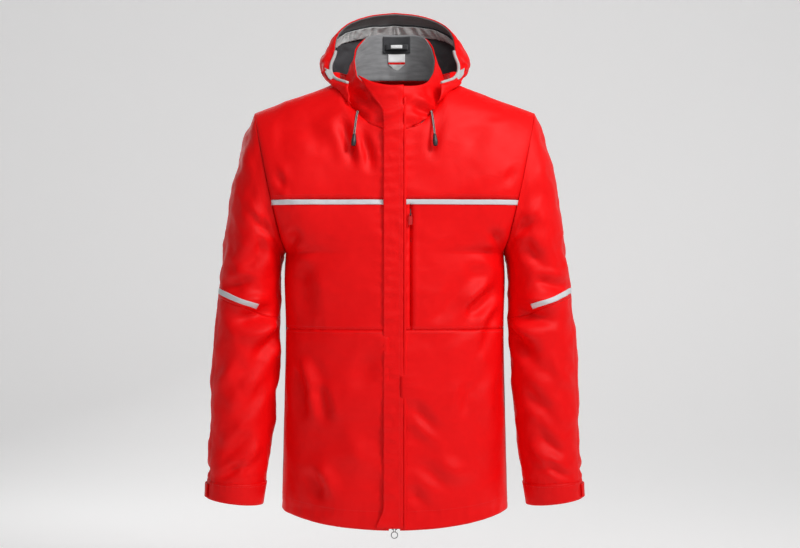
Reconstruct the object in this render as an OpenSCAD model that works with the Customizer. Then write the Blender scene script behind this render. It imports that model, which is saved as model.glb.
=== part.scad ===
// Foul weather jacket, hanging filled out as if worn.
// Garment heights are measured up from the lowest line of the hem; the front faces -Y.
// The model's origin is the hanging loop inside the back of the collar.

/* [Body] */
// Half width of the body at the hem
hem_half_w = 191; // [160:1:230]
// Half width of the body at the waist
waist_half_w = 184; // [150:1:220]
// Half width between the armpits
armpit_half_w = 184; // [172:1:195]
// Half width between the shoulder points
shoulder_half_w = 236; // [215:1:265]
// Height of the shoulder points
shoulder_z = 710; // [670:1:750]
// Height of the armpits
armpit_z = 475; // [440:1:510]
// Height of the seam under the yoke
yoke_z = 558; // [540:1:600]
// Height of the waist seam
waist_z = 346; // [280:1:400]
// Height of the front hem
hem_z = 24; // [10:1:60]
// Rise of the hem at the side seams
hem_rise = 21; // [0:1:40]
// Distance of the front line from the middle plane at the hem
front_depth = 124; // [100:1:160]
// Distance of the back from the middle plane at the chest
back_depth = 122; // [100:1:150]
// Thickness of an outer panel
shell_t = 2.4; // [1.5:0.1:4]
// Thickness of a lining
lining_t = 1.4; // [0.8:0.1:2]
// Space between the outer panels and the body lining
lining_space = 14; // [12:0.5:18]

/* [Collar] */
// Half width of the neck seam
neck_half_w = 85; // [75:1:95]
// Half depth of the neck seam
neck_half_d = 83; // [75:1:92]
// Height of the neck seam at the front
neck_front_z = 672; // [655:1:690]
// Height of the collar's top edge at the front
collar_front_z = 744; // [735:1:765]
// Height of the collar's top edge at the back
collar_back_z = 853; // [835:1:870]
// Half width of the collar's top edge
collar_half_w = 69; // [62:1:76]

/* [Sleeves] */
// Half depth of the armhole
armhole_half_d = 80; // [65:1:90]
// Height of the cuff's open end
cuff_z = 57; // [40:1:80]
// Width of the cuff across its open end
cuff_w = 92; // [80:1:110]
// Width of the light band on the sleeve
band_w = 9; // [6:1:16]
// Width of the cuff tab
tab_w = 30; // [22:1:34]

/* [Hood] */
// Height of the top of the visor
visor_z = 903; // [880:1:920]
// Half width of the hood's opening at its widest
hood_half_w = 112; // [100:1:125]

/* [Front] */
// Half width of the gap between the front panels
front_gap = 9; // [8:0.5:12]
// Distance of the flap's free edge from the middle
flap_free = 18; // [16:1:22]
// Distance of the flap's sewn edge from the middle
flap_sewn = 15; // [14:1:18]
// Thickness of the storm flap
flap_t = 3; // [2:0.1:4]
// Width of the chest stripe
stripe_w = 11; // [8:1:20]
// Distance of the pocket zip from the middle
pocket_x = 26; // [25:1:40]

/* [Zips and cords] */
// Half width of the zip chain
chain_half_w = 3; // [2.5:0.1:4]
// Pitch of the zip teeth
tooth_pitch = 5; // [4:0.5:8]
// Outer diameter of the ring on the lower slider
ring_od = 11.7; // [9:0.1:14]
// Diameter of the ring's wire
ring_wire = 1.5; // [1:0.1:2]
// Diameter of the drawcord
cord_d = 3.5; // [2.5:0.1:3.8]
// Length of the cord end
cord_end_l = 19; // [15:0.5:24]

/* [Hidden] */

red = [0.9, 0.03, 0.05];
light = [0.85, 0.85, 0.86];
grey = [0.42, 0.43, 0.45];
dark = [0.2, 0.2, 0.22];

seam_gap = 0.8;      // between panels of one body
joint_gap = 0.9;     // between pieces of different bodies
lining_gap = shell_t + 1.2;  // depth of a lining below the face of its outer panel
loop_z = 832;
front_lean = 0.0375; // how far the front line leans back for each unit of height
side_gap = 0.4;      // half of the gap at the side seams
side_pow = 2.5;      // how square a section of the body is
armhole_slope = (shoulder_half_w - armpit_half_w) / (shoulder_z - armpit_z);
yoke_half_w = armpit_half_w + armhole_slope * (yoke_z - armpit_z);
neck_y = -12;        // middle of the neck seam
tape_reach = 14;     // half width across both zip tapes
lug_r = 1.1;         // radius of the eye that a puller hangs in
neck_side_z = neck_front_z + 92;

// ---------- small functions ----------
function mix(a, b, t) = a + (b - a) * t;
function clamp01(t) = min(1, max(0, t));
function smooth(t) = let (c = clamp01(t)) c * c * (3 - 2 * c);
function unit(v) = v / norm(v);
function steps(a, b, n) = [for (i = [0:n]) mix(a, b, i / n)];

module at_loop() translate([0, -loop_y, -loop_z]) children();
module right_side() mirror([1, 0, 0]) children();

// Solid between two grids of points; columns run anticlockwise seen from above, rows run up.
module shell_of(outer, inner, ring = false) {
    cols = len(outer);
    rows = len(outer[0]);
    back = cols * rows;
    last = ring ? cols - 1 : cols - 2;
    points = concat([for (c = outer) for (p = c) p], [for (c = inner) for (p = c) p]);
    function at(i, j) = (i % cols) * rows + j;
    walls = [for (i = [0:last]) for (j = [0:rows - 2])
        let (a = at(i, j), b = at(i + 1, j), c = at(i + 1, j + 1), d = at(i, j + 1))
        each [[a, d, c], [a, c, b], [back + a, back + b, back + c], [back + a, back + c, back + d]]];
    rims = [for (i = [0:last])
        let (a = at(i, 0), b = at(i + 1, 0), c = at(i, rows - 1), d = at(i + 1, rows - 1))
        each [[a, b, back + b], [a, back + b, back + a], [c, back + c, back + d], [c, back + d, d]]];
    ends = ring ? [] : [for (j = [0:rows - 2])
        let (a = at(0, j), b = at(0, j + 1), c = at(cols - 1, j), d = at(cols - 1, j + 1))
        each [[a, back + a, back + b], [a, back + b, b], [c, d, back + d], [c, back + d, back + c]]];
    polyhedron(points, concat(walls, rims, ends), convexity = 10);
}

// Moves each point of a grid inwards, square to the surface.
function inwards(g, depth, ring = false) = let (nc = len(g), nr = len(g[0])) [for (i = [0:nc - 1])
    [for (j = [0:nr - 1])
        let (
            i0 = ring ? (i + nc - 1) % nc : max(0, i - 1),
            i1 = ring ? (i + 1) % nc : min(nc - 1, i + 1),
            du = g[i1][j] - g[i0][j],
            dv = g[i][min(nr - 1, j + 1)] - g[i][max(0, j - 1)]
        ) g[i][j] - depth * unit(cross(du, dv))]];

module skin(grid, from, to, ring = false) {
    shell_of(from == 0 ? grid : inwards(grid, from, ring), inwards(grid, to, ring), ring);
}

// ---------- the body ----------
function front_line(z) = -front_depth + front_lean * (z - hem_z);
function body_half_w(h) = h > armpit_z ? armpit_half_w + armhole_slope * (h - armpit_z)
    : lookup(h, [[hem_z, hem_half_w], [190, waist_half_w + 3], [waist_z, waist_half_w],
        [armpit_z - 45, waist_half_w + 3], [armpit_z, armpit_half_w]]);
function arm_half_d(h) = h < armpit_z ? 0
    : armhole_half_d * sqrt(1 - pow((yoke_z - h) / (yoke_z - armpit_z), 2));
function body_depth(h, back) = back
    ? lookup(h, [[hem_z, back_depth - 4], [200, back_depth - 9], [waist_z, back_depth - 9],
        [armpit_z, back_depth], [yoke_z, back_depth + 3]])
    : -front_line(h);
function level(x, h, back) = let (
        r = clamp01(x / body_half_w(h)),
        a = arm_half_d(h),
        d = max(side_gap, a + (body_depth(h, back) - a) * pow(max(0, 1 - pow(r, side_pow)), 1 / side_pow)),
        lift = hem_rise * r * r * clamp01(1 - (h - hem_z) / 100)
    ) [x, back ? d : -d, h + lift];

// Neck seam; 0 degrees is the front and 180 the back.
neck_push = -front_line(neck_front_z) + neck_y - neck_half_d;
function neck_seam(a) = [neck_half_w * sin(a),
    neck_y - neck_half_d * cos(a) - (a < 90 ? neck_push * pow(cos(a), 2) : 0),
    a < 90 ? mix(neck_side_z, neck_front_z, cos(a)) : neck_side_z - 11 * cos(a)];
function top_seam(x, back) = let (
        a = asin(clamp01(x / neck_half_w)),
        t = (x - neck_half_w) / (shoulder_half_w - neck_half_w)
    ) x < neck_half_w ? neck_seam(back ? 180 - a : a)
    : mix(neck_seam(90), [shoulder_half_w, 0, shoulder_z], t);
function yoke(x, v, back) = let (
        low = level(x, yoke_z, back),
        top = top_seam(x + (shoulder_half_w - yoke_half_w) * pow(x / yoke_half_w, 2), back),
        round = 1 - sqrt(max(0, 1 - v * v)),
        g = back ? round : mix(v, round, smooth(x / 60))
    ) [mix(low[0], top[0], v), mix(low[1], top[1], g), mix(low[2], top[2], v)];
function body_at(x, h, back) = h <= yoke_z ? level(x, h, back) : yoke(x, h - yoke_z, back);

// Grid of body points from line x0 to line x1, or to the side when x1 is 0; heights above the yoke
// seam are given as that seam's height plus a share from 0 to 1.
function body_grid(x0, x1, heights, n, back = false) = [for (i = [0:n]) [for (h = heights)
    let (side = x1 == 0 ? min(yoke_half_w, body_half_w(min(h, yoke_z))) : x1)
    body_at(mix(x0, side, x1 == 0 ? sin(90 * i / n) : i / n), h, back)]];
function flipped(g) = [for (i = [len(g) - 1:-1:0]) g[i]];
function mirrored(g) = flipped([for (c = g) [for (p = c) [-p[0], p[1], p[2]]]]);

low_rows = steps(hem_z, waist_z - seam_gap / 2, 6);
chest_rows = concat(steps(waist_z + seam_gap / 2, armpit_z, 3),
    [armpit_z + 6, armpit_z + 20, armpit_z + 45, yoke_z - seam_gap / 2]);
yoke_rows = [for (v = [0.006, 0.2, 0.4, 0.6, 0.75, 0.86, 0.94, 0.98, 0.9998]) yoke_z + v];

module front_yoke_left() color(red) at_loop() skin(body_grid(front_gap, 0, yoke_rows, 22), 0, shell_t);
module front_yoke_right() color(red) at_loop()
    skin(mirrored(body_grid(front_gap, 0, yoke_rows, 22)), 0, shell_t);
module front_chest_left() color(red) at_loop()
    skin(body_grid(pocket_x + pocket_slot, 0, chest_rows, 10), 0, shell_t);
module front_placket_left() color(red) at_loop()
    skin(body_grid(front_gap, pocket_x - pocket_slot, chest_rows, 2), 0, shell_t);
module front_chest_right() color(red) at_loop()
    skin(mirrored(body_grid(front_gap, 0, chest_rows, 12)), 0, shell_t);
module front_lower_left() color(red) at_loop() skin(body_grid(front_gap, 0, low_rows, 12), 0, shell_t);
module front_lower_right() color(red) at_loop()
    skin(mirrored(body_grid(front_gap, 0, low_rows, 12)), 0, shell_t);

// Both halves of the back in one grid, from the wearer's left side round to the right.
function back_grid(rows, n) = let (half = flipped(body_grid(0, 0, rows, n, true)))
    concat(half, [for (i = [1:n]) [for (p = half[n - i]) [-p[0], p[1], p[2]]]]);
module back_yoke() color(red) at_loop() skin(back_grid(yoke_rows, 10), 0, shell_t);
module back_panel() color(red) at_loop()
    skin(back_grid(concat(low_rows, chest_rows), 10), 0, shell_t);

stripe_rows = [yoke_z - stripe_w + 3, yoke_z];
module chest_stripe_left() color(light) at_loop() {
    grid = body_grid(flap_sewn + 5, 0, stripe_rows, 10);
    skin(grid, -1.2, -0.2);
}
module chest_stripe_right() color(light) at_loop() {
    grid = mirrored(body_grid(front_gap, 0, stripe_rows, 12));
    skin(grid, -0.9, -0.2);
}

// The lining hangs clear inside the body, joined to it near the hem and open at the armholes.
lining_low = [hem_z + 30, 140, waist_z, armpit_z - 20];
lining_high = concat([armpit_z - 18, armpit_z + 30, yoke_z - 0.01],
    [for (v = [0.3, 0.6, 0.8]) yoke_z + v]);
function tuck(p, h) = let (
        d = h < hem_z + 31 ? 6 : lining_space + 1.5,
        s = 1 - d / max(60, norm([p[0], p[1]]))
    ) [p[0] * s, p[1] * s, p[2] - (h > yoke_z ? d * (h - yoke_z) : 0)];
lining_start = tape_reach + 4;
function lined(x0, rows, back) = [for (i = [0:10]) [for (h = rows)
    let (side = body_half_w(min(h, yoke_z))) tuck(body_at(mix(x0, side, sin(90 * i / 10)), h, back), h)]];
function other_half(g) = let (n = len(g) - 1)
    [for (i = [1:n]) [for (p = g[n - i]) [-p[0], p[1], p[2]]]];
module body_lining() color(grey) at_loop() {
    sides = concat(lined(lining_start, lining_low, false), [for (i = [9:-1:0]) lined(0, lining_low, true)[i]]);
    skin(concat(sides, other_half(sides)), 0, lining_t);
    chest = lined(lining_start, lining_high, false);
    skin(chest, 0, lining_t);
    skin(mirrored(chest), 0, lining_t);
    rear = flipped(lined(0, lining_high, true));
    skin(concat(rear, other_half(rear)), 0, lining_t);
}

// ---------- collar ----------
collar_y = neck_y - 3.5;
collar_half_d = -front_line(collar_front_z) + collar_y;
function collar_top(a) = [collar_half_w * sin(a), collar_y - collar_half_d * cos(a) + 2 * (1 - cos(a)),
    mix(collar_front_z, collar_back_z, smooth((1 - cos(a)) / 2))];
function collar_pt(a, v) = mix(neck_seam(a), collar_top(a), v);
loop_share = 0.73;   // place of the hanging loop up the collar's back
loop_w = 32;
loop_room = 6.4;     // space between the loop and the collar for a peg
loop_t = 1.2;
loop_ease = 0.88;    // play between the loop and the collar's lining
loop_y = collar_pt(180 - asin(loop_w / 2 / neck_half_w), loop_share)[1] - lining_gap - lining_t
    - loop_room / 2 - loop_t - loop_ease;
collar_start = asin(front_gap / neck_half_w);
function collar_grid(low, high, n, start) = [for (i = [0:n]) let (a = mix(start, 360 - start, i / n),
    m = a > 180 ? 360 - a : a, s = a > 180 ? -1 : 1)
    [for (v = steps(low, high, 3)) let (p = collar_pt(m, v)) [s * p[0], p[1], p[2]]]];
module collar_outer() color(red) difference() {
    at_loop() skin(collar_grid(0.035, 1, 36, collar_start), 0, shell_t);
    eyelet_hole();
    right_side() eyelet_hole();
}
module collar_lining() color(grey) at_loop()
    skin(collar_grid(0.05, 0.97, 36, asin((tape_reach + 3) / collar_half_w)), lining_gap, lining_gap + lining_t);

// ---------- hood ----------
// Share 0 is the middle of the back and 1 the front end beside the collar.
function hood_edge(a) = let (k = hood_half_w / 112, top = visor_z - 903)
    [k * lookup(a, [[0, 0], [0.12, 42], [0.25, 80], [0.4, 101], [0.52, 105], [0.62, 106],
            [0.74, 112], [0.87, 104], [1, 76]]),
        lookup(a, [[0, 115], [0.12, 112], [0.25, 104], [0.4, 85], [0.52, 66], [0.62, 45],
            [0.74, 15], [0.87, -30], [1, -70]]),
        lookup(a, [[0, 903], [0.12, 898], [0.25, 884], [0.4, 861], [0.52, 840], [0.62, 818],
            [0.74, 792], [0.87, 766], [1, 750]]) + top * smooth(1 - a)];
function hood_seam(a) = let (s = neck_seam(180 - 130 * a), r = hood_out(a))
    [s[0] + 7 * r[0], s[1] + 7 * r[1], s[2] + 12];
function hood_out(a) = [sin(125 * a), cos(125 * a), 0];
function bezier(p, q, r, s, t) = pow(1 - t, 3) * p + 3 * pow(1 - t, 2) * t * q
    + 3 * (1 - t) * t * t * r + pow(t, 3) * s;
function hood_pt(t, v) = let (
        a = abs(t),
        e = hood_edge(a),
        n = hood_seam(a),
        r = hood_out(a),
        c1 = e + lookup(a, [[0, 65], [0.4, 45], [0.74, 16], [1, 4]]) * r
            + [0, 0, lookup(a, [[0, -16], [0.74, -8], [1, -6]])],
        c2 = n + lookup(a, [[0, 115], [0.4, 80], [0.74, 30], [1, 8]]) * r
            + [0, 0, lookup(a, [[0, -90], [0.4, -55], [0.74, 0], [1, 10]])],
        p = bezier(e, c1, c2, n, v)
    ) [t < 0 ? -p[0] : p[0], p[1], p[2]];
// Columns run from the wearer's left front end round the back to the right one; rows run up.
function hood_grid(t0, t1, v0, v1, n, rows) = [for (i = [0:n]) [for (j = [rows:-1:0])
    hood_pt(mix(t0, t1, i / n), mix(v0, v1, j / rows))]];
visor_v = 0.13;
band_v = 0.235;
panel_t = 0.42;
hood_v = 0.84;

module hood_centre_panel() color(red) at_loop()
    skin(hood_grid(panel_t - 0.004, -panel_t + 0.004, 0.012, hood_v, 14, 10), 0, shell_t);
module hood_side_left() color(red) at_loop()
    skin(hood_grid(1, panel_t + 0.004, 0.012, hood_v, 10, 8), 0, shell_t);
module hood_side_right() color(red) at_loop()
    skin(hood_grid(-panel_t - 0.004, -1, 0.012, hood_v, 10, 8), 0, shell_t);
module hood_lining() color(light) at_loop()
    skin(hood_grid(0.61, -0.61, band_v + 0.014, hood_v, 30, 10), lining_gap + 0.8, lining_gap + 0.8 + lining_t);
module hood_visor() color(dark) at_loop()
    skin(hood_grid(0.6, -0.6, 0.012, visor_v, 26, 1), lining_gap, lining_gap + 1.6);
module hood_gathered_band() color(light) at_loop()
    skin(hood_grid(0.6, -0.6, visor_v + 0.014, band_v - 0.004, 26, 2), lining_gap, lining_gap + 2.6);
module hood_piping() color(light) at_loop()
    tube([for (t = steps(1, -1, 44)) hood_pt(t, 0) + [0, 0, 1.2]], 1.1, 6);
module hood_base() color(red) at_loop()
    skin(hood_grid(1, -1, hood_v + 0.03, 0.975, 30, 2), 0, shell_t);

// Round tube along a list of points.
function side_dir(d) = abs(d[2]) > 0.9 * norm(d) ? [1, 0, 0] : [0, 0, 1];
module tube(path, r, sides) {
    n = len(path);
    rings = [for (k = [0:n - 1]) let (
            d = unit(path[min(n - 1, k + 1)] - path[max(0, k - 1)]),
            a = unit(cross(d, side_dir(path[n - 1] - path[0]))),
            b = cross(d, a)
        ) for (s = [0:sides - 1]) path[k] + r * (cos(360 * s / sides) * a + sin(360 * s / sides) * b)];
    walls = [for (k = [0:n - 2]) for (s = [0:sides - 1]) let (
            p = k * sides + s, q = k * sides + (s + 1) % sides, u = p + sides, w = q + sides
        ) each [[p, w, q], [p, u, w]]];
    polyhedron(rings, concat(walls, [[for (s = [0:sides - 1]) s]],
        [[for (s = [sides - 1:-1:0]) (n - 1) * sides + s]]), convexity = 10);
}

// ---------- sleeves ----------
// Each row of the sleeve: outer point, inner point, half depth, offset forwards, middle share.
// Down to the elbow, widths and heights go from the shoulder's to the elbow's by shares; below it
// they go on to the cuff's. The inner side keeps a set distance from the body.
arm_mid = (yoke_z - armpit_z) / (shoulder_z - armpit_z);
elbow_w = 106;
elbow_out_z = 400;
elbow_in_z = 362;
elbow_half_d = 68;
function arm_row(width, out_share, in_share, gap, half_d, y, middle) = let (
        z = mix(armpit_z, elbow_in_z, in_share),
        x = body_half_w(min(z, armpit_z)) + gap
    ) [[x + mix(shoulder_half_w - armpit_half_w, elbow_w, width), mix(shoulder_z, elbow_out_z, out_share)],
    [x, z], mix(armhole_half_d, elbow_half_d, half_d), y, middle];
function forearm_row(extra, out_share, in_share, gap, half_d, y) = let (
        z = mix(elbow_in_z, cuff_z - 3, in_share),
        x = body_half_w(max(z, hem_z)) + gap
    ) [[x + cuff_w + extra, mix(elbow_out_z, cuff_z + 9, out_share)],
    [x, z], half_d, y, 0.5];
sleeve_rows = [
    [[shoulder_half_w, shoulder_z], [armpit_half_w, armpit_z], armhole_half_d, 0, arm_mid],
    arm_row(0.27, 0.135, 0.062, 3, -0.08, 0, 0.4),
    arm_row(0.43, 0.284, 0.15, 4.8, -0.08, 0, 0.43),
    arm_row(0.62, 0.45, 0.257, 5.1, 0.08, -1, 0.46),
    arm_row(0.77, 0.645, 0.416, 4.6, 0.4, -3, 0.48),
    arm_row(0.9, 0.839, 0.646, 5.5, 0.75, -6, 0.5),
    arm_row(1, 1, 1, 7.4, 1, -9, 0.5),
    forearm_row(18, 0.18, 0.169, 8.3, 65, -13),
    forearm_row(18, 0.38, 0.364, 11.9, 62, -18),
    forearm_row(15, 0.584, 0.568, 15, 59, -24),
    forearm_row(10, 0.778, 0.753, 19.5, 55, -30),
    forearm_row(4, 0.922, 0.893, 25.5, 51, -35),
    forearm_row(0, 1, 1, 29.8, 47, -38)
];
elbow_row = 6;
cuff_row = 11;
function sleeve_row(k) = let (i = min(len(sleeve_rows) - 2, floor(k)), f = k - i)
    [for (j = [0:4]) mix(sleeve_rows[i][j], sleeve_rows[i + 1][j], f)];
function sleeve_pt(k, a) = let (
        r = sleeve_row(k), o = r[0], i = r[1], m = mix(i, o, r[4]), e = sin(a),
        q = e > 0 ? m + e * (o - m) : m - e * (i - m)
    ) [q[0], r[3] - r[2] * cos(a), q[1]];
// Columns run anticlockwise seen from above, starting at the front; rows run up.
function sleeve_grid(rows, a0 = 0, a1 = 345, n = 23) = [for (i = [0:n]) [for (j = [len(rows) - 1:-1:0])
    sleeve_pt(rows[j], mix(a0, a1, i / n))]];
// From one end to the other through every row between, so that a lining lies along its sleeve.
function through_rows(k0, k1) = concat([k0], [for (k = [floor(k0) + 1:ceil(k1) - 1]) k], [k1]);
module sleeve_tube(rows, from, to) skin(sleeve_grid(rows), from, to, true);
module sleeve_strip(rows, a0, a1, n, from, to) skin(sleeve_grid(rows, a0, a1, n), from, to);

upper_end = elbow_row - 0.02;
band_row = elbow_row - 0.28;
module upper_sleeve() at_loop() color(red) translate([joint_gap, 0, 0])
    sleeve_tube(steps(0.03, upper_end, 9), 0, shell_t);
module lower_sleeve() at_loop() color(red) translate([joint_gap, 0, 0])
    sleeve_tube(through_rows(elbow_row + 0.02, cuff_row - 0.01), 0, shell_t);
module sleeve_band() at_loop() color(light) translate([joint_gap, 0, 0])
    sleeve_strip([band_row, band_row + band_w / 50], -22, 172, 16, -1.2, -0.4);
module sleeve_lining() at_loop() color(grey) translate([joint_gap, 0, 0])
    sleeve_tube(through_rows(elbow_row + 0.1, cuff_row + 0.8), lining_gap, lining_gap + lining_t);
module cuff() at_loop() color(red) translate([joint_gap, 0, 0])
    sleeve_tube(steps(cuff_row, cuff_row + 1, 3), -1.2, shell_t);
tab_top = cuff_row + 0.08;
tab_low = tab_top + tab_w / 35;
module cuff_tab() at_loop() color(red) translate([joint_gap, 0, 0])
    sleeve_strip(steps(tab_top, tab_low, 2), 62, 150, 8, -5, -1.9);

module sleeve_upper_left() upper_sleeve();
module sleeve_upper_right() right_side() upper_sleeve();
module sleeve_lower_left() lower_sleeve();
module sleeve_lower_right() right_side() lower_sleeve();
module sleeve_band_left() sleeve_band();
module sleeve_band_right() right_side() sleeve_band();
module sleeve_lining_left() sleeve_lining();
module sleeve_lining_right() right_side() sleeve_lining();
module cuff_left() cuff();
module cuff_right() right_side() cuff();
module cuff_tab_left() cuff_tab();
module cuff_tab_right() right_side() cuff_tab();

// ---------- storm flap ----------
flap_low = hem_z + 3;
flap_turn = 700;
flap_lift = 1.0;    // the flap's inner face stands this far in front of the panels
function flap_free_x(z) = z < flap_turn ? -flap_free
    : -flap_free - 40 * pow((z - flap_turn) / (collar_front_z - flap_turn), 1.3);
function flap_y(x, z) = front_line(z)
    + smooth((z - 630) / 60) * 78 * (1 - sqrt(1 - pow(min(0.9, abs(x) / 84), 2)));
function flap_z(x, z) = z + 20 * pow(x / 60, 2) * clamp01((z - flap_turn) / 40);
flap_heights = [flap_low, 120, 240, 360, 480, 600, 640, 670, flap_turn, 715, 730, collar_front_z];
module storm_flap() color(red) at_loop() {
    grid = [for (i = [0:8]) [for (z = flap_heights)
        let (x = mix(flap_free_x(z), flap_sewn - joint_gap, i / 8))
        [x, flap_y(x, z) - flap_lift, flap_z(x, z)]]];
    skin(grid, -flap_t, 0);
}
// Places children in the plane of the front line: X across, Y inwards, Z along it.
module on_front_line() at_loop() translate([0, front_line(hem_z), hem_z])
    rotate([-atan(front_lean), 0, 0]) children();
line_len = (collar_front_z - hem_z) * sqrt(1 + front_lean * front_lean);
module flap_seam_strip() color(red) on_front_line()
    translate([flap_sewn, -flap_lift - flap_t, 4]) cube([4, flap_t + flap_lift - 0.2, line_len - 24]);
pad_w = 7;
pad_h = 42;
pad_x = -flap_free + 1;
pad_count = 4;
module pads(depth, y) for (i = [0:pad_count - 1])
    translate([pad_x, y, 70 + i * 160]) cube([pad_w, depth, pad_h]);
module flap_hook_pads() color(dark) on_front_line() pads(0.45, -0.95);
module flap_loop_pads() color(dark) on_front_line() pads(0.35, -0.4);

// ---------- front zip ----------
tape_y = shell_t + 2.6;          // middle of the tapes, inwards from the panels' face
tape_t = 1;
tooth_t = 2.6;
zip_low = 8;
zip_high = line_len - 12;
slot = 0.7;          // half of the slot between the rows of teeth
module zip_tapes() color(dark) on_front_line() for (s = [-1, 1])
    translate([s > 0 ? chain_half_w : -tape_reach, tape_y - tape_t / 2, zip_low - 6])
        cube([tape_reach - chain_half_w, tape_t, zip_high - zip_low + 12]);
module tooth_comb(l, half_w, thick) {
    n = floor(l / tooth_pitch);
    spine = half_w - 0.8;
    points = concat([[half_w, 0], [half_w, n * tooth_pitch]],
        [for (i = [n - 1:-1:0]) each [[spine, (i + 1) * tooth_pitch], [spine, (i + 0.55) * tooth_pitch],
            [slot, (i + 0.55) * tooth_pitch], [slot, i * tooth_pitch + 0.1],
            [spine, i * tooth_pitch + 0.1]]], [[spine, 0]]);
    rotate([90, 0, 0]) linear_extrude(thick, center = true) polygon(points);
}
module zip_teeth() color(dark) on_front_line() translate([0, tape_y, zip_low]) for (s = [0, 1])
    mirror([s, 0, 0]) tooth_comb(zip_high - zip_low, chain_half_w, tooth_t);
module zip_stops() color("silver") on_front_line() {
    for (s = [-1, 1]) translate([s * 2 - 1, tape_y - 1.3, zip_high + 0.5]) cube([2, 2.6, 4]);
    for (s = [-1, 1]) translate([s * 2.6 - 1.8, tape_y - 2, zip_low - 7]) cube([3.6, 4, 6]);
}
module zip_guard() color(dark) on_front_line() translate([-14, 9.2, 4]) cube([28, 1.4, line_len - 30]);

slider_l = 13;
slider_half_w = 5.2;
plate_t = 1.5;
plate_gap = 0.35;
plate_front = tape_y - tooth_t / 2 - plate_gap - plate_t;
slider_eye = plate_front - lug_r;
ring_pin = -3;
module slider_body(half_w, l, tooth, mid) {
    front = mid - tooth / 2 - plate_gap - plate_t;
    rear = mid + tooth / 2 + plate_gap;
    for (y = [front, rear]) translate([0, y, 0]) rotate([-90, 0, 0]) linear_extrude(plate_t)
        translate([0, -l / 2]) offset(r = 1.2, $fn = 24) square([2 * half_w - 2.4, l - 2.4], center = true);
    translate([-0.35, front + plate_t / 2, -l * 0.3]) cube([0.7, rear - front, l * 0.6]);
}
// The lug is an eye across the slider, on a stem from its front plate; the puller's pin turns in it.
lug_w = 2;
lug_hole_r = 0.6;
pin_play = 0.06;
pin_r = lug_hole_r - pin_play;
module lug(plate_y, eye_y, z) difference() {
    union() {
        translate([-lug_w / 2, eye_y, z]) rotate([0, 90, 0]) cylinder(r = lug_r, h = lug_w, $fn = 24);
        translate([-lug_w / 2, eye_y, z - lug_r]) cube([lug_w, plate_y - eye_y + 0.3, 2 * lug_r]);
    }
    translate([-lug_w, eye_y, z]) rotate([0, 90, 0]) cylinder(r = lug_hole_r, h = 2 * lug_w, $fn = 24);
}
fork_w = 1.1;
fork_x = lug_w / 2 + 0.2;
module fork(eye_y, z, drop) {
    translate([-fork_x - fork_w / 2, eye_y, z]) rotate([0, 90, 0])
        cylinder(r = pin_r, h = 2 * fork_x + fork_w, $fn = 24);
    for (s = [0, 1]) mirror([s, 0, 0]) translate([fork_x, eye_y - 0.5, z - drop]) cube([fork_w, 1, drop + 0.6]);
}
puller_l = 26;
module puller(eye_y, z, l) {
    fork(eye_y, z, 5);
    translate([0, eye_y - 0.5, z - l + 1.4]) rotate([-90, 0, 0]) linear_extrude(1)
        translate([0, -(l - 6.8) / 2 - 0.8]) offset(r = 1.4, $fn = 24) square([3.4, l - 6.8], center = true);
}
upper_at = zip_high - slider_l - 1;
lower_at = zip_low + 1;
module upper_slider() color("silver") on_front_line() translate([0, 0, upper_at]) {
    slider_body(slider_half_w, slider_l, tooth_t, tape_y);
    lug(plate_front, slider_eye, 3);
}
module upper_puller() color("dimgray") on_front_line() translate([0, 0, upper_at])
    puller(slider_eye, 3, puller_l);
module lower_slider() color("silver") on_front_line() translate([0, 0, lower_at]) {
    slider_body(slider_half_w, slider_l, tooth_t, tape_y);
    lug(plate_front, slider_eye, ring_pin);
}
ring_drop = 13;
module ring_puller() color("dimgray") on_front_line() translate([0, slider_eye, lower_at + ring_pin]) {
    fork(0, 0, ring_drop - ring_od / 2 + 1);
    translate([0, 0, -ring_drop]) rotate([90, 0, 0])
        rotate_extrude($fn = 48) translate([ring_od / 2 - ring_wire / 2, 0]) circle(d = ring_wire, $fn = 24);
}

// ---------- chest pocket ----------
pocket_low = waist_z + 6;
pocket_high = yoke_z - 10;
pocket_chain = 1.9;
pocket_y = 6.2;
pocket_slot = 1.8;   // half of the slot that the slider's lug passes through
pocket_tooth = 1.8;
module at_pocket() at_loop() translate([pocket_x, front_line(pocket_low) + 0.6, pocket_low])
    rotate([-atan(front_lean), 0, 0]) children();
pocket_len = pocket_high - pocket_low;
module pocket_tapes() color(dark) at_pocket() for (s = [-1, 1])
    translate([s > 0 ? pocket_chain : -7.5, pocket_y - 0.4, 0]) cube([7.5 - pocket_chain, 0.8, pocket_len]);
module pocket_teeth() color(dark) at_pocket() translate([0, pocket_y, 2]) for (s = [0, 1])
    mirror([s, 0, 0]) tooth_comb(pocket_len - 4, pocket_chain, pocket_tooth);
pocket_slider_l = 9;
pocket_slider_at = pocket_len - 14;
pocket_front = pocket_y - pocket_tooth / 2 - plate_gap - plate_t;
pocket_eye = -1.6;
module pocket_slider() color("silver") at_pocket() translate([0, 0, pocket_slider_at]) {
    slider_body(3.4, pocket_slider_l, pocket_tooth, pocket_y);
    lug(pocket_front, pocket_eye, 0);
}
module pocket_puller() color("dimgray") at_pocket() translate([0, 0, pocket_slider_at])
    puller(pocket_eye, 0, 18);
bag_rows = concat(steps(waist_z + 10, armpit_z, 3),
    [armpit_z + 6, armpit_z + 20, armpit_z + 45, yoke_z - 14]);
module pocket_bag() color(grey) at_loop()
    skin(body_grid(pocket_x + 9, 130, bag_rows, 8), shell_t + 1.6, shell_t + 4.4);

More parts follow.
